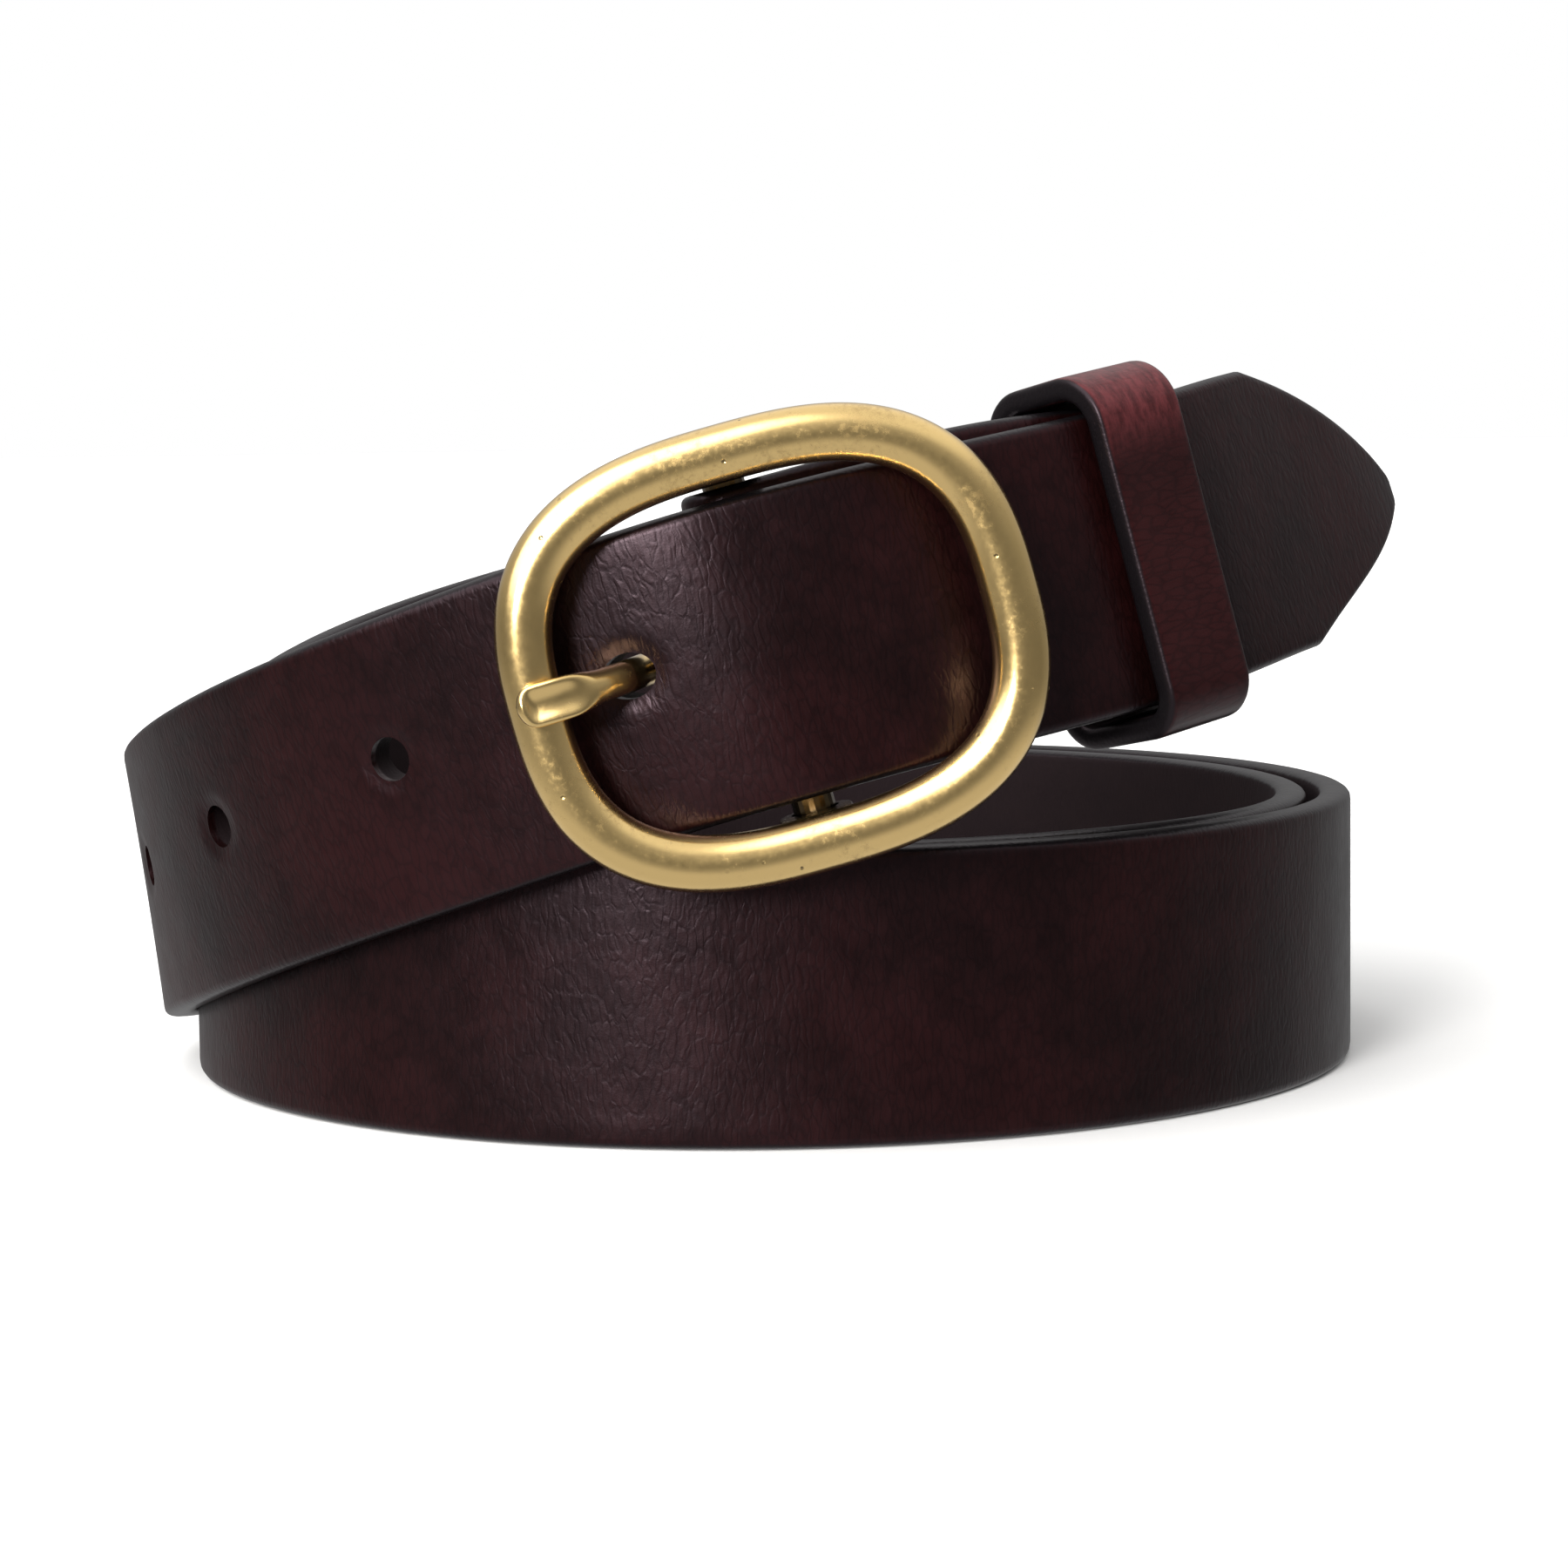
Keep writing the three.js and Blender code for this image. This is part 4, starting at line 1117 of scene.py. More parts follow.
def make_strap(size):
    """The strap, from its tapered tip round the coil and the bar to its turned-back tail."""
    route = Route(size)
    middle = coil_middle(route)
    width, thick = size.strap_width / 2, size.strap_thickness / 2
    nose = size.point_length * np.linspace(0, 1, 26) ** 2
    shoulder = size.point_length - size.tip_reach
    body = np.arange(shoulder + STRAP_STEP, route.end - SKIVE_END, STRAP_STEP)
    near_hole = np.arange(-HOLE_ROOM, HOLE_ROOM + 0.1, HOLE_STEP)
    near_holes = [at + near_hole for at in route.hole_lengths()]
    body = np.unique(np.concatenate([body, *near_holes]).round(2))
    body = body[body > shoulder]
    to_bar = np.arange(SKIVE_END, 0, -SKIVE_STEP)
    round_bar = np.arange(0, 181, FOLD_STEP_DEGREES)
    tail_body = np.arange(1, size.tail_length - TAIL_CORNER, STRAP_STEP)
    corner = np.radians(np.arange(0, 91, 9))
    tail_corner = size.tail_length - TAIL_CORNER * (1 - np.sin(corner))

    nose_share = np.clip(nose / STRAP_STEP, 0, 1)
    corner_width = width - TAIL_CORNER * (1 - np.cos(corner))
    fold_thick = size.fold_thickness / 2
    skived = fold_thick + (thick - fold_thick) * smooth(SKIVE_START, SKIVE_END, to_bar)
    fold_run = route.end + np.radians(round_bar) * route.fold_radius
    tail_run = route.end + TAIL_RUN_ROOM
    # Each stretch: where it goes, its half width, its half thickness and its place along the leather.
    stretches = (
        (
            route.at(nose - size.tip_reach),
            np.maximum(NOSE_HALF_WIDTH, width * (nose / size.point_length) ** POINT_POWER),
            thick * (0.5 + 0.5 * np.sqrt(1 - (1 - nose_share) ** 2)),
            nose - size.tip_reach,
        ),
        (route.at(body), width, thick, body),
        (route.doubled(to_bar), width, skived, route.end - to_bar),
        (route.fold(round_bar), width, fold_thick, fold_run),
        (route.tail(tail_body), width, fold_thick, tail_run + tail_body),
        (route.tail(tail_corner), corner_width, fold_thick, tail_run + tail_corner),
    )
    stacked = [[], [], [], [], [], []]
    for spot, half_width, half_thick, run in stretches:
        count = len(spot.centre)
        values = (spot.centre, spot.up, spot.out, half_width, half_thick, run)
        for pile, value in zip(stacked, values):
            pile.append(np.broadcast_to(value, (count, *np.shape(value)[1:])))
    centre, up, out, half_width, half_thick, run = (np.concatenate(pile) for pile in stacked)
    rounding = np.minimum(size.edge_round, half_width * 0.4)
    hump = HUMP_HEIGHT * np.exp(-(((run - HUMP_AT) / HUMP_REACH) ** 2))
    crown = CROWN_HEIGHT * np.exp(-(((run - HUMP_AT) / CROWN_REACH) ** 2))
    centre = centre + out * hump[:, None]
    centre = centre * MM + middle
    rows = rows_of(centre, up, out, half_width, half_thick, rounding, run, crown=crown)

    flat = width - size.edge_round
    # Lengthwise rows of faces, closer together where the holes are.
    dense = np.arange(HOLE_OFFSET - 4, HOLE_OFFSET + 4.1, HOLE_STEP)
    below = np.linspace(-flat, dense[0] - 0.9, 7)
    above = np.linspace(dense[-1] + 0.9, flat, 6)
    columns = np.concatenate([below, dense, above]) / flat
    outline = rounded_outline(columns, np.linspace(-1, 1, 9))
    obj = sweep("strap_leather", rows, outline, finish("strap_leather"))
    dish_round_holes(obj, size, route)
    punch_strap(obj, size, route, middle)
    soften(obj, LEATHER_CRISP)
    keep_piece(obj, "belt", "strap_leather", "strap")


def dish_round_holes(obj, size, route):
    """Sinks the grain side a little round each adjustment hole, deepest at its rim."""
    mesh = obj.data
    spots = vectors_from(mesh.vertices, "co")
    normals = vectors_from(mesh.vertex_normals, "vector")
    flat = vectors_from(mesh.attributes["unrolled"].data, "vector")
    skin = vectors_from(mesh.attributes["skin"].data, "vector")
    for at in route.hole_lengths():
        away = np.hypot(flat[:, 0] / MM - at, flat[:, 1] / MM - HOLE_OFFSET)
        past_rim = np.maximum(0, away - size.hole_diameter / 2)
        sink = size.hole_dish * np.exp(-((past_rim / HOLE_DISH_REACH) ** 2)) * (skin[:, 1] > 0.5)
        spots -= normals * (sink * MM)[:, None]
    mesh.vertices.foreach_set("co", spots.ravel())
    mesh.update()


def punch_strap(obj, size, route, middle):
    """Punches the adjustment holes, the slot in the fold and the seats of the screw sets."""
    lengths = route.hole_lengths()
    spot = route.hole_frame(lengths)
    # The hole in use is stretched along the strap, and slants with the prong.
    slant = route.bar_out * math.sin(PRONG_RISE) - route.right * math.cos(PRONG_RISE)
    spot.centre[0] += route.right * PRONG_HOLE_SHIFT
    outward = spot.out.copy()
    outward[0] = slant
    stretch = np.ones((len(lengths), 3))
    stretch[0, 0] = PRONG_HOLE_STRETCH / size.hole_diameter
    marks = new_object("hole_marks", spot.centre * MM + middle)
    mark(marks, "outward", outward)
    mark(marks, "across", spot.up)
    mark(marks, "stretch", stretch)
    run_tree(
        obj,
        node_tree("Punch holes"),
        marks=marks,
        punch_diameter=size.hole_diameter * MM,
        punch_length=2.4 * size.strap_thickness * MM,
        finish=finish("strap_leather"),
    )
    remove(marks)
    cutters = [slot_cutter(size, route, middle)]
    outer = size.strap_thickness / 2
    inner = -(outer + PASS_GAP + size.fold_thickness)
    past = PASS_GAP / 4
    for place in SCREW_PLACES:
        spot = route.at(route.end - place)
        matrix = placing(spot.along, spot.up, spot.out, spot.centre, middle)
        barrel = SCREW_BARREL / 2 + SCREW_CLEARANCE
        head = size.screw_head / 2 + SCREW_CLEARANCE
        cutters.append(rod("barrel", barrel, inner - past, outer + past, matrix))
        cutters.append(rod("pocket", head, outer - SCREW_SINK, outer + past, matrix))
    combine(obj, cutters, "DIFFERENCE")
    coat(obj, "strap_leather")


def slot_cutter(size, route, middle):
    """The strap's own sweep round the bar, narrower and a little thicker, for the prong's eye."""
    leg = SLOT_REACH - math.pi * route.fold_radius / 2
    stretches = (
        route.doubled(np.linspace(leg, 0.5, 8)),
        route.fold(np.linspace(0, 180, 19)),
        route.tail(np.linspace(0.5, leg, 8)),
    )
    centre = np.concatenate([spot.centre for spot in stretches])
    up = np.concatenate([spot.up for spot in stretches])
    out = np.concatenate([spot.out for spot in stretches])
    hole = route.hole_frame(PRONG_HOLE_AT).centre
    rise = (hole - centre) @ route.bar_up
    centre = centre + route.bar_up * rise[:, None]
    half = (size.fold_thickness + PASS_GAP) / 2
    run = np.arange(len(centre))
    rows = rows_of(centre * MM + middle, up, out, SLOT_WIDTH / 2, half, SLOT_ROUND, run)
    outline = rounded_outline(np.linspace(-1, 1, 5), np.linspace(-1, 1, 5), 3)
    return sweep("slot", rows, outline, finish("strap_leather"))


def buckle_matrix(route, middle):
    """From the buckle's own millimetres to metres in the frame."""
    return placing(route.right, route.bar_up, route.bar_out, route.bar_centre, middle)


def own_points(obj, matrix):
    """An object's points in a piece's own millimetres."""
    points = np.array([v.co for v in obj.data.vertices])
    back = np.linalg.inv(matrix)
    return points @ back[:3, :3].T + back[:3, 3]


def node_points(node, matrix):
    """A CAD node's points in a piece's own millimetres."""
    return own_points(frame["nodes"][node], matrix)


def frame_height(size, matrix):
    """Height of the frame's middle above the centre bar."""
    return node_points("buckle_frame", matrix)[:, 2].max() - size.buckle_wire / 2


def rail_height(size):
    """From the middle of the centre bar up or down to the middle of a rail."""
    return size.strap_width / 2 + FRAME_EDGE_ROOM + size.buckle_wire / 2


def make_lug(side, size, height, route, middle):
    """One of the plates that hang from the rails and hold the centre bar."""
    radius = size.bar_diameter / 2 + BAR_CLEARANCE + LUG_WALL
    half = LUG_WIDTH / 2
    arc = np.radians(np.linspace(180, 0, 25))
    outline = [(half, -height), (-half, -height)]
    outline += [(radius * math.cos(a), radius * math.sin(a)) for a in arc]
    place = side * (rail_height(size) - LUG_INSET)
    low, high = place - LUG_THICKNESS / 2, place + LUG_THICKNESS / 2
    lug = prism("lug", outline, low, high, bar_matrix(route, middle))
    bevel = lug.modifiers.new("Bevel", "BEVEL")
    bevel.width = LUG_BEVEL * MM
    bevel.segments = 3
    bevel.limit_method = "ANGLE"
    settle(lug)
    return lug


def bar_matrix(route, middle):
    """The buckle's matrix turned so that its z runs along the centre bar and its y inwards."""
    return placing(route.right, -route.bar_out, route.bar_up, route.bar_centre, middle)


def bar_rod(name, radius, reach, route, middle):
    """A rod along the centre bar's axis."""
    return rod(name, radius, -reach, reach, bar_matrix(route, middle))


def make_buckle(size):
    """The cast frame of the buckle with its two lugs, darkened as painted shade deep behind its front,
    and the centre bar's finish, darkened as painted shade.
    """
    route = Route(size)
    middle = coil_middle(route)
    matrix = buckle_matrix(route, middle)
    height = frame_height(size, matrix)
    angle = np.arange(FRAME_SECTIONS) * math.tau / FRAME_SECTIONS

    def line(at):
        """The middle of the frame's wire, a rounded oblong, at angles round it."""
        wave = np.stack([np.cos(at), np.sin(at)], 1)
        bulge = np.sign(wave) * np.abs(wave) ** (2 / FRAME_ROUNDNESS)
        reach = np.array([route.bar_reach, rail_height(size)])
        return np.concatenate([bulge * reach, np.zeros((len(at), 1))], 1)

    # Even spacing round the frame, away from the outline's flat places.
    dense = np.linspace(0, math.tau, 4001)
    walked = lengths_along(line(dense))
    run = angle / math.tau * walked[-1]
    spots = line(np.interp(run, walked, dense))
    along = unit(np.roll(spots, -1, axis=0) - np.roll(spots, 1, axis=0))
    across = np.cross(along, (0, 0, 1))
    spots[:, 2] = height
    half = size.buckle_wire / 2
    rows = rows_of(
        placed(matrix, spots),
        turned(matrix, across),
        turned(matrix, np.tile((0, 0, 1), (len(spots), 1))),
        half,
        half * FRAME_FLATTENING,
        half,
        run,
    )
    casting = sweep("buckle_casting", rows, round_outline(40, 2.15), finish("brass"), closed=True)
    lugs = [make_lug(side, size, height, route, middle) for side in (-1, 1)]
    combine(casting, lugs, "UNION")
    radius = size.bar_diameter / 2 + BAR_CLEARANCE
    bore = bar_rod("bore", radius, size.strap_width, route, middle)
    combine(casting, [bore], "DIFFERENCE")
    coat(casting, "brass")
    # Painted shade: the brass darkens with depth behind the frame's front, over the lugs and the bore.
    depth = height - own_points(casting, matrix)[:, 2]
    mark(casting, "recess", smooth(*FRAME_SHADE_DEPTHS, depth)[:, None])
    soften(casting)
    keep_piece(casting, "buckle", "brass", "buckle_frame")
    # The centre bar gets the brass darkened as painted shade.
    coat(frame["nodes"]["centre_bar"], "dark_brass")


def make_prong(size):
    """The prong: an eye round the centre bar, a shank through the strap and a dished paddle."""
    route = Route(size)
    matrix = buckle_matrix(route, coil_middle(route))
    hole = route.hole_frame(PRONG_HOLE_AT).centre - route.bar_centre
    x, y, z = (float(hole @ axis) for axis in (route.right, route.bar_up, route.bar_out))
    bore = size.bar_diameter / 2 + BAR_CLEARANCE
    paddle = frame_height(size, matrix) + (size.buckle_wire + PADDLE_THICKNESS) / 2 + BAR_CLEARANCE
    rise = size.strap_thickness / 2 + PRONG_LEAD
    run = rise / math.tan(PRONG_RISE)
    reach = route.bar_reach
    knots = np.array(
        [
            (-(bore + PRONG_EYE_WALL / 2), BAR_CLEARANCE),
            (x + run + PRONG_BEND, z - rise - PRONG_BEND_RISE),
            (x + run, z - rise),
            (x - run, z + rise),
            (x - run - PRONG_BEND, paddle - PRONG_BEND_RISE),
            (PRONG_BEND - reach, paddle - BAR_CLEARANCE),
            (-reach, paddle),
            (-reach - PADDLE_OVERHANG, paddle),
        ]
    )
    gone = np.concatenate([[0], np.cumsum(np.linalg.norm(np.diff(knots, axis=0), axis=1) ** 0.5)])
    # Sections stand closer together towards the paddle's nose.
    share = 1 - (1 - np.linspace(0, 1, PRONG_SECTIONS)) ** 1.25
    at = gone[-1] * share
    xs, x_slopes = natural_spline(gone, knots[:, 0])(at)
    zs, z_slopes = natural_spline(gone, knots[:, 1])(at)
    count = len(at)
    spots = np.stack([xs, np.full(count, y), zs], 1)
    along = unit(np.stack([x_slopes, np.zeros(count), z_slopes], 1))
    walked = lengths_along(spots)
    left = walked[-1] - walked
    across = np.tile((0.0, 1.0, 0.0), (count, 1))
    flat = smooth(*PADDLE_FLARE, left)
    nose = (1 - np.clip(1 - left / PADDLE_NOSE, 0, 0.985) ** 2.4) ** 0.5
    radius = size.prong_diameter / 2
    half_width = (radius + (PADDLE_WIDTH / 2 - radius) * flat) * nose
    half_thick = (radius + (PADDLE_THICKNESS / 2 - radius) * flat) * np.sqrt(nose)
    dish = PADDLE_DISH * smooth(*DISH_STARTS, left) * smooth(*DISH_ENDS, left)
    rows = rows_of(
        placed(matrix, spots),
        turned(matrix, across),
        turned(matrix, np.cross(across, along)),
        half_width,
        half_thick,
        half_width,
        walked,
        dish,
    )
    prong = sweep("prong_casting", rows, round_outline(40, 2.3), finish("brass"))

    theta = np.arange(EYE_SECTIONS) * math.tau / EYE_SECTIONS
    spoke = np.stack([np.cos(theta), np.zeros(EYE_SECTIONS), np.sin(theta)], 1)
    ring = spoke * (bore + PRONG_EYE_WALL / 2) + (0, y, 0)
    wall = PRONG_EYE_WALL / 2
    eye_rows = rows_of(
        placed(matrix, ring),
        turned(matrix, spoke),
        turned(matrix, np.tile((0.0, 1.0, 0.0), (EYE_SECTIONS, 1))),
        wall,
        PRONG_EYE_LENGTH / 2,
        wall,
        theta * bore,
    )
    eye = sweep("eye", eye_rows, round_outline(24, 4.0), finish("brass"), closed=True)
    combine(prong, [eye], "UNION")
    hollow = bar_rod("bore", bore, size.strap_width / 2, route, coil_middle(route))
    combine(prong, [hollow], "DIFFERENCE")
    coat(prong, "brass")
    soften(prong)
    keep_piece(prong, "prong", "brass", "prong")


def keeper_place(size):
    """The keeper's matrix and the inner box of its loop, in the keeper's own millimetres."""
    route = Route(size)
    spot = route.at(-KEEPER_AT)
    matrix = placing(-spot.along, spot.up, spot.out, spot.centre, coil_middle(route))
    points = node_points("keeper", matrix)
    wall = size.keeper_thickness
    low, back = points[:, 1:].min(axis=0) + wall
    high, face = points[:, 1:].max(axis=0) - wall
    return matrix, low, high, back, face


def make_keeper(size):
    """The keeper: a band of leather bent into a loop, its ends butted at the back."""
    matrix, low, high, back, face = keeper_place(size)
    wall = size.keeper_thickness / 2
    corners = (
        (high - KEEPER_HIGH_CORNER, back + KEEPER_HIGH_CORNER, KEEPER_HIGH_CORNER, -90),
        (high - KEEPER_HIGH_CORNER, face - KEEPER_HIGH_CORNER, KEEPER_HIGH_CORNER, 0),
        (low + KEEPER_LOW_CORNER, face - KEEPER_LOW_CORNER, KEEPER_LOW_CORNER, 90),
        (low + KEEPER_LOW_CORNER, back + KEEPER_LOW_CORNER, KEEPER_LOW_CORNER, 180),
    )
    path = [(KEEPER_JOINT / 2, back - wall, 0, -1)]
    for y, z, radius, start in corners:
        for degrees in np.linspace(start, start + 90, 15):
            a = math.radians(degrees)
            c, s = math.cos(a), math.sin(a)
            path.append((y + (radius + wall) * c, z + (radius + wall) * s, c, s))
    path.append((-KEEPER_JOINT / 2, back - wall, 0, -1))
    path = np.array(path)
    # Fill in the straight stretches with sections of their own.
    gone = lengths_along(path[:, :2])
    at = np.unique(np.concatenate([gone, np.arange(0, gone[-1], KEEPER_STEP)]))
    path = np.stack([np.interp(at, gone, path[:, i]) for i in range(4)], 1)
    count = len(path)
    spots = np.stack([np.zeros(count), path[:, 0], path[:, 1]], 1)
    outward = unit(np.stack([np.zeros(count), path[:, 2], path[:, 3]], 1))
    across = np.tile((1.0, 0.0, 0.0), (count, 1))
    rows = rows_of(
        placed(matrix, spots),
        turned(matrix, across),
        turned(matrix, outward),
        size.keeper_width / 2,
        wall,
        KEEPER_EDGE_ROUND,
        at,
    )
    outline = rounded_outline(np.linspace(-1, 1, 15), np.linspace(-1, 1, 9), 9, 3.0)
    keeper = sweep("keeper_loop", rows, outline, finish("keeper_leather"))
    soften(keeper, LEATHER_CRISP)
    keep_piece(keeper, "keeper", "keeper_leather", "keeper")


def make_staple(size):
    """The wire staple that holds the keeper's butted ends together."""
    matrix, _, _, back, _ = keeper_place(size)
    half = (STAPLE_SPAN - STAPLE_WIRE) / 2
    crown = back - size.keeper_thickness - STAPLE_WIRE / 2
    bend = STAPLE_BEND
    path = [(-half, back - STAPLE_LEG_END)]
    for y, start in ((-half + bend, 180), (half - bend, 270)):
        for degrees in np.linspace(start, start + 90, 9):
            a = math.radians(degrees)
            path.append((y + bend * math.cos(a), crown + bend + bend * math.sin(a)))
    path.append((half, back - STAPLE_LEG_END))
    path = np.array(path)
    count = len(path)
    spots = np.stack([np.zeros(count), path[:, 0], path[:, 1]], 1)
    along = unit(np.gradient(spots, axis=0))
    across = np.tile((1.0, 0.0, 0.0), (count, 1))
    wire = STAPLE_WIRE / 2
    rows = rows_of(
        placed(matrix, spots),
        turned(matrix, across),
        turned(matrix, np.cross(along, across)),
        wire,
        wire,
        wire,
        np.arange(count),
    )
    staple = sweep("staple_wire", rows, round_outline(14), finish("steel"))
    soften(staple)
    keep_piece(staple, "keeper", "steel", "keeper_staple")


def screw_profiles(size):
    """Profiles of a post and of its screw, about the middle of the doubled end's outer layer."""
    outer = size.strap_thickness / 2
    inner = -(outer + PASS_GAP + size.fold_thickness)
    under = outer - SCREW_SINK + SCREW_SEAT
    head = size.screw_head / 2
    top = under + SCREW_HEAD_THICKNESS
    barrel = SCREW_BARREL / 2
    bore = SCREW_SHANK / 2 + SCREW_CLEARANCE
    soft = SCREW_SOFT_EDGE
    post = [
        (0, under),
        (bore, under),
        (bore, inner),
        (barrel, inner),
        (barrel, under),
        (head, under),
        (head, top - soft),
        (head - soft, top),
        (0, top),
    ]
    face = inner - SCREW_CLEARANCE
    bottom = face - SCREW_HEAD_THICKNESS
    shank = SCREW_SHANK / 2
    screw = [
        (0, bottom),
        (head - soft, bottom),
        (head, bottom + soft),
        (head, face),
        (shank, face),
        (shank, under - SCREW_CLEARANCE),
        (0, under - SCREW_CLEARANCE),
    ]
    return post, screw, bottom


def make_screws(size):
    """The two screw sets that hold the fold shut: their posts, and their slotted screws."""
    route = Route(size)
    middle = coil_middle(route)
    spot = route.at(route.end - np.array(SCREW_PLACES, float))
    post, screw, bottom = screw_profiles(size)
    for name, profile, nodes in (
        ("screw_posts", post, ("screw_post_1", "screw_post_2")),
        ("fold_screws", screw, ("fold_screw_1", "fold_screw_2")),
    ):
        fitting = revolved("fitting", profile)
        if name == "fold_screws":
            wide, reach = SCREW_SLOT, size.screw_head
            across = [(-wide, -reach), (wide, -reach), (wide, reach), (-wide, reach)]
            slot = prism("slot", across, bottom - SCREW_SLOT, bottom + SCREW_SLOT, OWN_PLACE)
            combine(fitting, [slot], "DIFFERENCE")
        marks = new_object(name, spot.centre * MM + middle)
        mark(marks, "outward", spot.out)
        mark(marks, "across", spot.up)
        mark(marks, "stretch", (1, 1, 1))
        run_tree(marks, node_tree("Set fittings"), fitting=fitting, finish=finish("brass"))
        remove(fitting)
        coat(marks, "brass")
        soften(marks)
        keep_piece(marks, "belt", "brass", *nodes)


def make_stage(size):
    """The camera, the pale floor and the soft studio light."""
    scene = bpy.context.scene
    middle = Vector(coil_middle(Route(size)))
    data = bpy.data.cameras.new("camera")
    data.lens = CAMERA_LENS
    data.sensor_width = CAMERA_SENSOR
    data.clip_start = 0.01
    data.clip_end = 100.0
    camera = bpy.data.objects.new("camera", data)
    scene.collection.objects.link(camera)
    place = Matrix.Translation(middle + Vector(CAMERA_PLACE) * MM)
    pitch = Matrix.Rotation(CAMERA_PITCH, 4, "X")
    camera.matrix_world = place @ pitch @ Matrix.Rotation(CAMERA_ROLL, 4, "Z")
    scene.camera = camera
    scene.view_settings.view_transform = "Standard"

    rim, under = FLOOR_RADIUS, -FLOOR_THICKNESS
    floor = revolved("floor", [(0, under), (rim, under), (rim, 0), (0, 0)], 96)
    coat(floor, "floor")
    floor.visible_glossy = False

    key = bpy.data.lights.new("key", "SUN")
    key.energy = KEY_ENERGY
    key.angle = KEY_ANGLE
    key.color = KEY_COLOUR
    lamp = bpy.data.objects.new("key", key)
    scene.collection.objects.link(lamp)
    lamp.rotation_euler = Vector(KEY_AIM).to_track_quat("Z", "Y").to_euler()
    light_studio(scene)


def light_studio(scene):
    """Soft light from above and behind and a bright panel; plain white where it is seen."""
    world = bpy.data.worlds.new("studio")
    scene.world = world
    world.use_nodes = True
    tree = world.node_tree
    tree.nodes.clear()
    way = add_node(tree, "ShaderNodeTexCoord").outputs["Generated"]
    _, depth, height = parts_of(tree, way)
    above = ramp(tree, height, [(0.05, 0.0), (0.35, 0.2), (0.8, 1.0)], "EASE")
    behind = arithmetic(tree, "MULTIPLY_ADD", depth, 0.5, 0.5)
    behind = ramp(tree, behind, [(0.35, 0.20), (0.62, 0.26), (0.9, 0.34)], "EASE")
    depth_below = arithmetic(tree, "MULTIPLY", height, -1.0)
    below = ramp(tree, depth_below, [(0.1, 0.0), (0.6, 0.45)], "EASE")
    window = Vector(PANEL_AIM).normalized()
    facing = add_node(tree, "ShaderNodeVectorMath", {0: way, 1: window}, operation="DOT_PRODUCT")
    panel = ramp(tree, facing.outputs["Value"], [(0.80, 0.0), (0.90, 1.0)], "EASE")
    glow = arithmetic(tree, "MULTIPLY_ADD", above, ABOVE_STRENGTH, behind)
    glow = arithmetic(tree, "MULTIPLY_ADD", panel, PANEL_STRENGTH, glow)
    glow = arithmetic(tree, "ADD", glow, below)
    seen = add_node(tree, "ShaderNodeLightPath").outputs["Is Camera Ray"]
    soft = add_node(tree, "ShaderNodeBackground", {"Color": glow, "Strength": 1.0})
    plain = add_node(tree, "ShaderNodeBackground", {"Color": (1, 1, 1, 1), "Strength": 1.0})
    inputs = {0: seen, 1: soft.outputs[0], 2: plain.outputs[0]}
    both = add_node(tree, "ShaderNodeMixShader", inputs)
    add_node(tree, "ShaderNodeOutputWorld", {"Surface": both.outputs[0]})


# ---- Operators and panel -------------------------------------------------------------------------


class BELT_OT_make_stage(bpy.types.Operator):
    """Make the camera, the floor and the light"""

    bl_idname = "belt.make_stage"
    bl_label = "Stage"

    def execute(self, context):
        make_stage(sizes_in_millimetres())
        return {"FINISHED"}


class BELT_OT_make_strap(bpy.types.Operator):
    """Make the strap with its holes and fold"""

    bl_idname = "belt.make_strap"
    bl_label = "Strap"

    def execute(self, context):
        make_strap(sizes_in_millimetres())
        return {"FINISHED"}


class BELT_OT_make_buckle(bpy.types.Operator):
    """Make the buckle's frame and lugs, and darken the centre bar as painted shade"""

    bl_idname = "belt.make_buckle"
    bl_label = "Buckle frame"

    def execute(self, context):
        make_buckle(sizes_in_millimetres())
        return {"FINISHED"}


class BELT_OT_make_prong(bpy.types.Operator):
    """Make the prong with its eye and paddle"""

    bl_idname = "belt.make_prong"
    bl_label = "Prong"

    def execute(self, context):
        make_prong(sizes_in_millimetres())
        return {"FINISHED"}


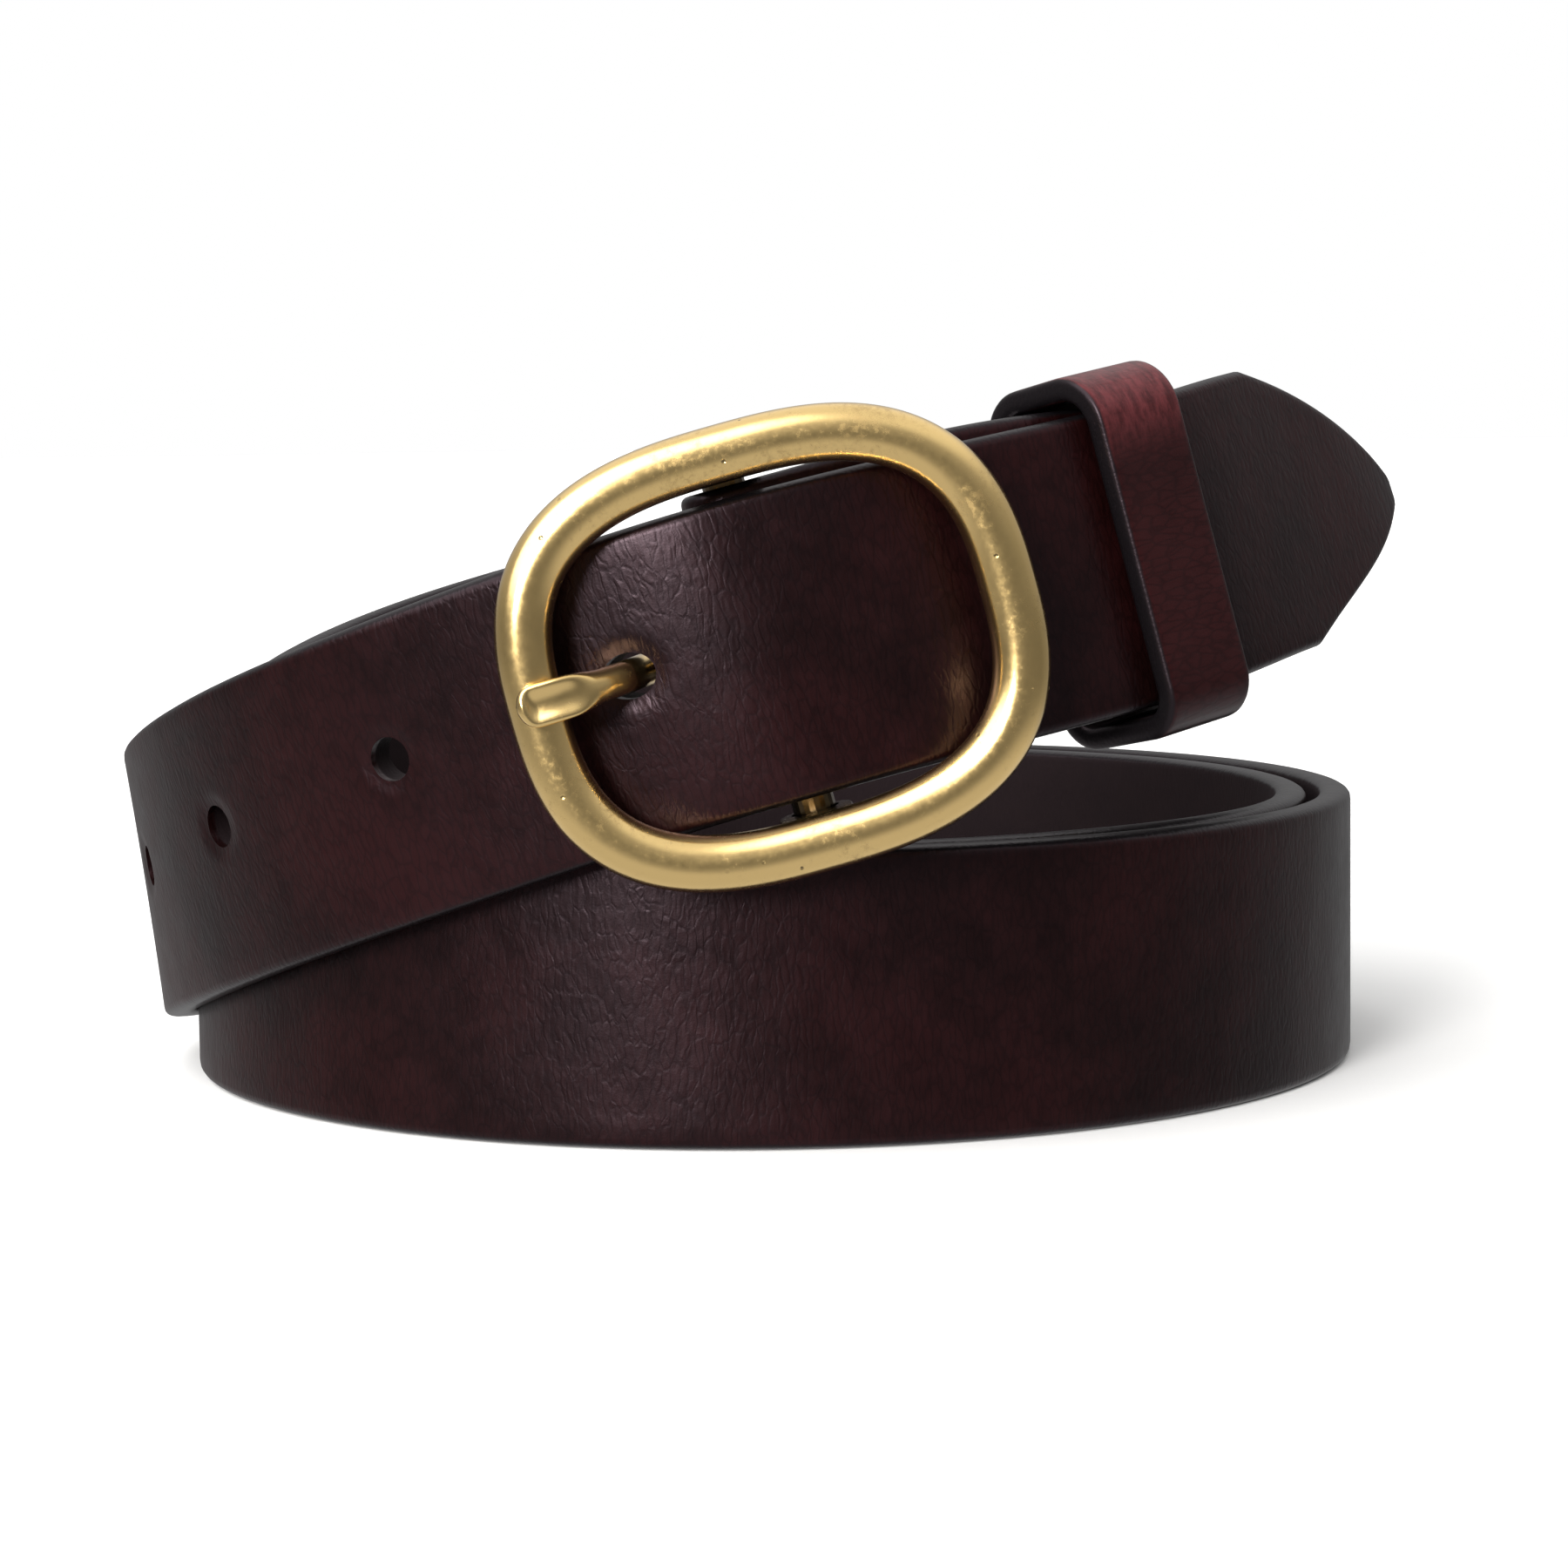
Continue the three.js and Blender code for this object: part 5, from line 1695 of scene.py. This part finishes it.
class BELT_OT_make_keeper(bpy.types.Operator):
    """Make the keeper loop"""

    bl_idname = "belt.make_keeper"
    bl_label = "Keeper"

    def execute(self, context):
        make_keeper(sizes_in_millimetres())
        return {"FINISHED"}


class BELT_OT_make_staple(bpy.types.Operator):
    """Make the keeper's staple"""

    bl_idname = "belt.make_staple"
    bl_label = "Staple"

    def execute(self, context):
        make_staple(sizes_in_millimetres())
        return {"FINISHED"}


class BELT_OT_make_screws(bpy.types.Operator):
    """Make the screw sets of the fold"""

    bl_idname = "belt.make_screws"
    bl_label = "Screw sets"

    def execute(self, context):
        make_screws(sizes_in_millimetres())
        return {"FINISHED"}


OPERATORS = (
    BELT_OT_make_stage,
    BELT_OT_make_strap,
    BELT_OT_make_buckle,
    BELT_OT_make_prong,
    BELT_OT_make_keeper,
    BELT_OT_make_staple,
    BELT_OT_make_screws,
)


class BELT_PT_pieces(bpy.types.Panel):
    """The belt's pieces, sizes and colours."""

    bl_label = "Leather belt"
    bl_space_type = "VIEW_3D"
    bl_region_type = "UI"
    bl_category = "Belt"

    def draw(self, context):
        """List the operators, then the sizes and the colours."""
        for operator in OPERATORS:
            self.layout.operator(operator.bl_idname)
        for group in (context.scene.belt_sizes, context.scene.belt_colours):
            box = self.layout.box()
            for name in type(group).__annotations__:
                box.prop(group, name)


CLASSES = (BeltSizes, BeltColours, *OPERATORS, BELT_PT_pieces)


def register():
    """Register the classes and hang the sizes and colours on the scene."""
    for cls in CLASSES:
        bpy.utils.register_class(cls)
    bpy.types.Scene.belt_sizes = bpy.props.PointerProperty(type=BeltSizes)
    bpy.types.Scene.belt_colours = bpy.props.PointerProperty(type=BeltColours)


def unregister():
    """Undo what register does."""
    del bpy.types.Scene.belt_colours
    del bpy.types.Scene.belt_sizes
    for cls in reversed(CLASSES):
        bpy.utils.unregister_class(cls)


def main():
    """Make every piece in order."""
    register()
    for operator in OPERATORS:
        group, name = operator.bl_idname.split(".")
        getattr(getattr(bpy.ops, group), name)()


if __name__ == "__main__":
    main()
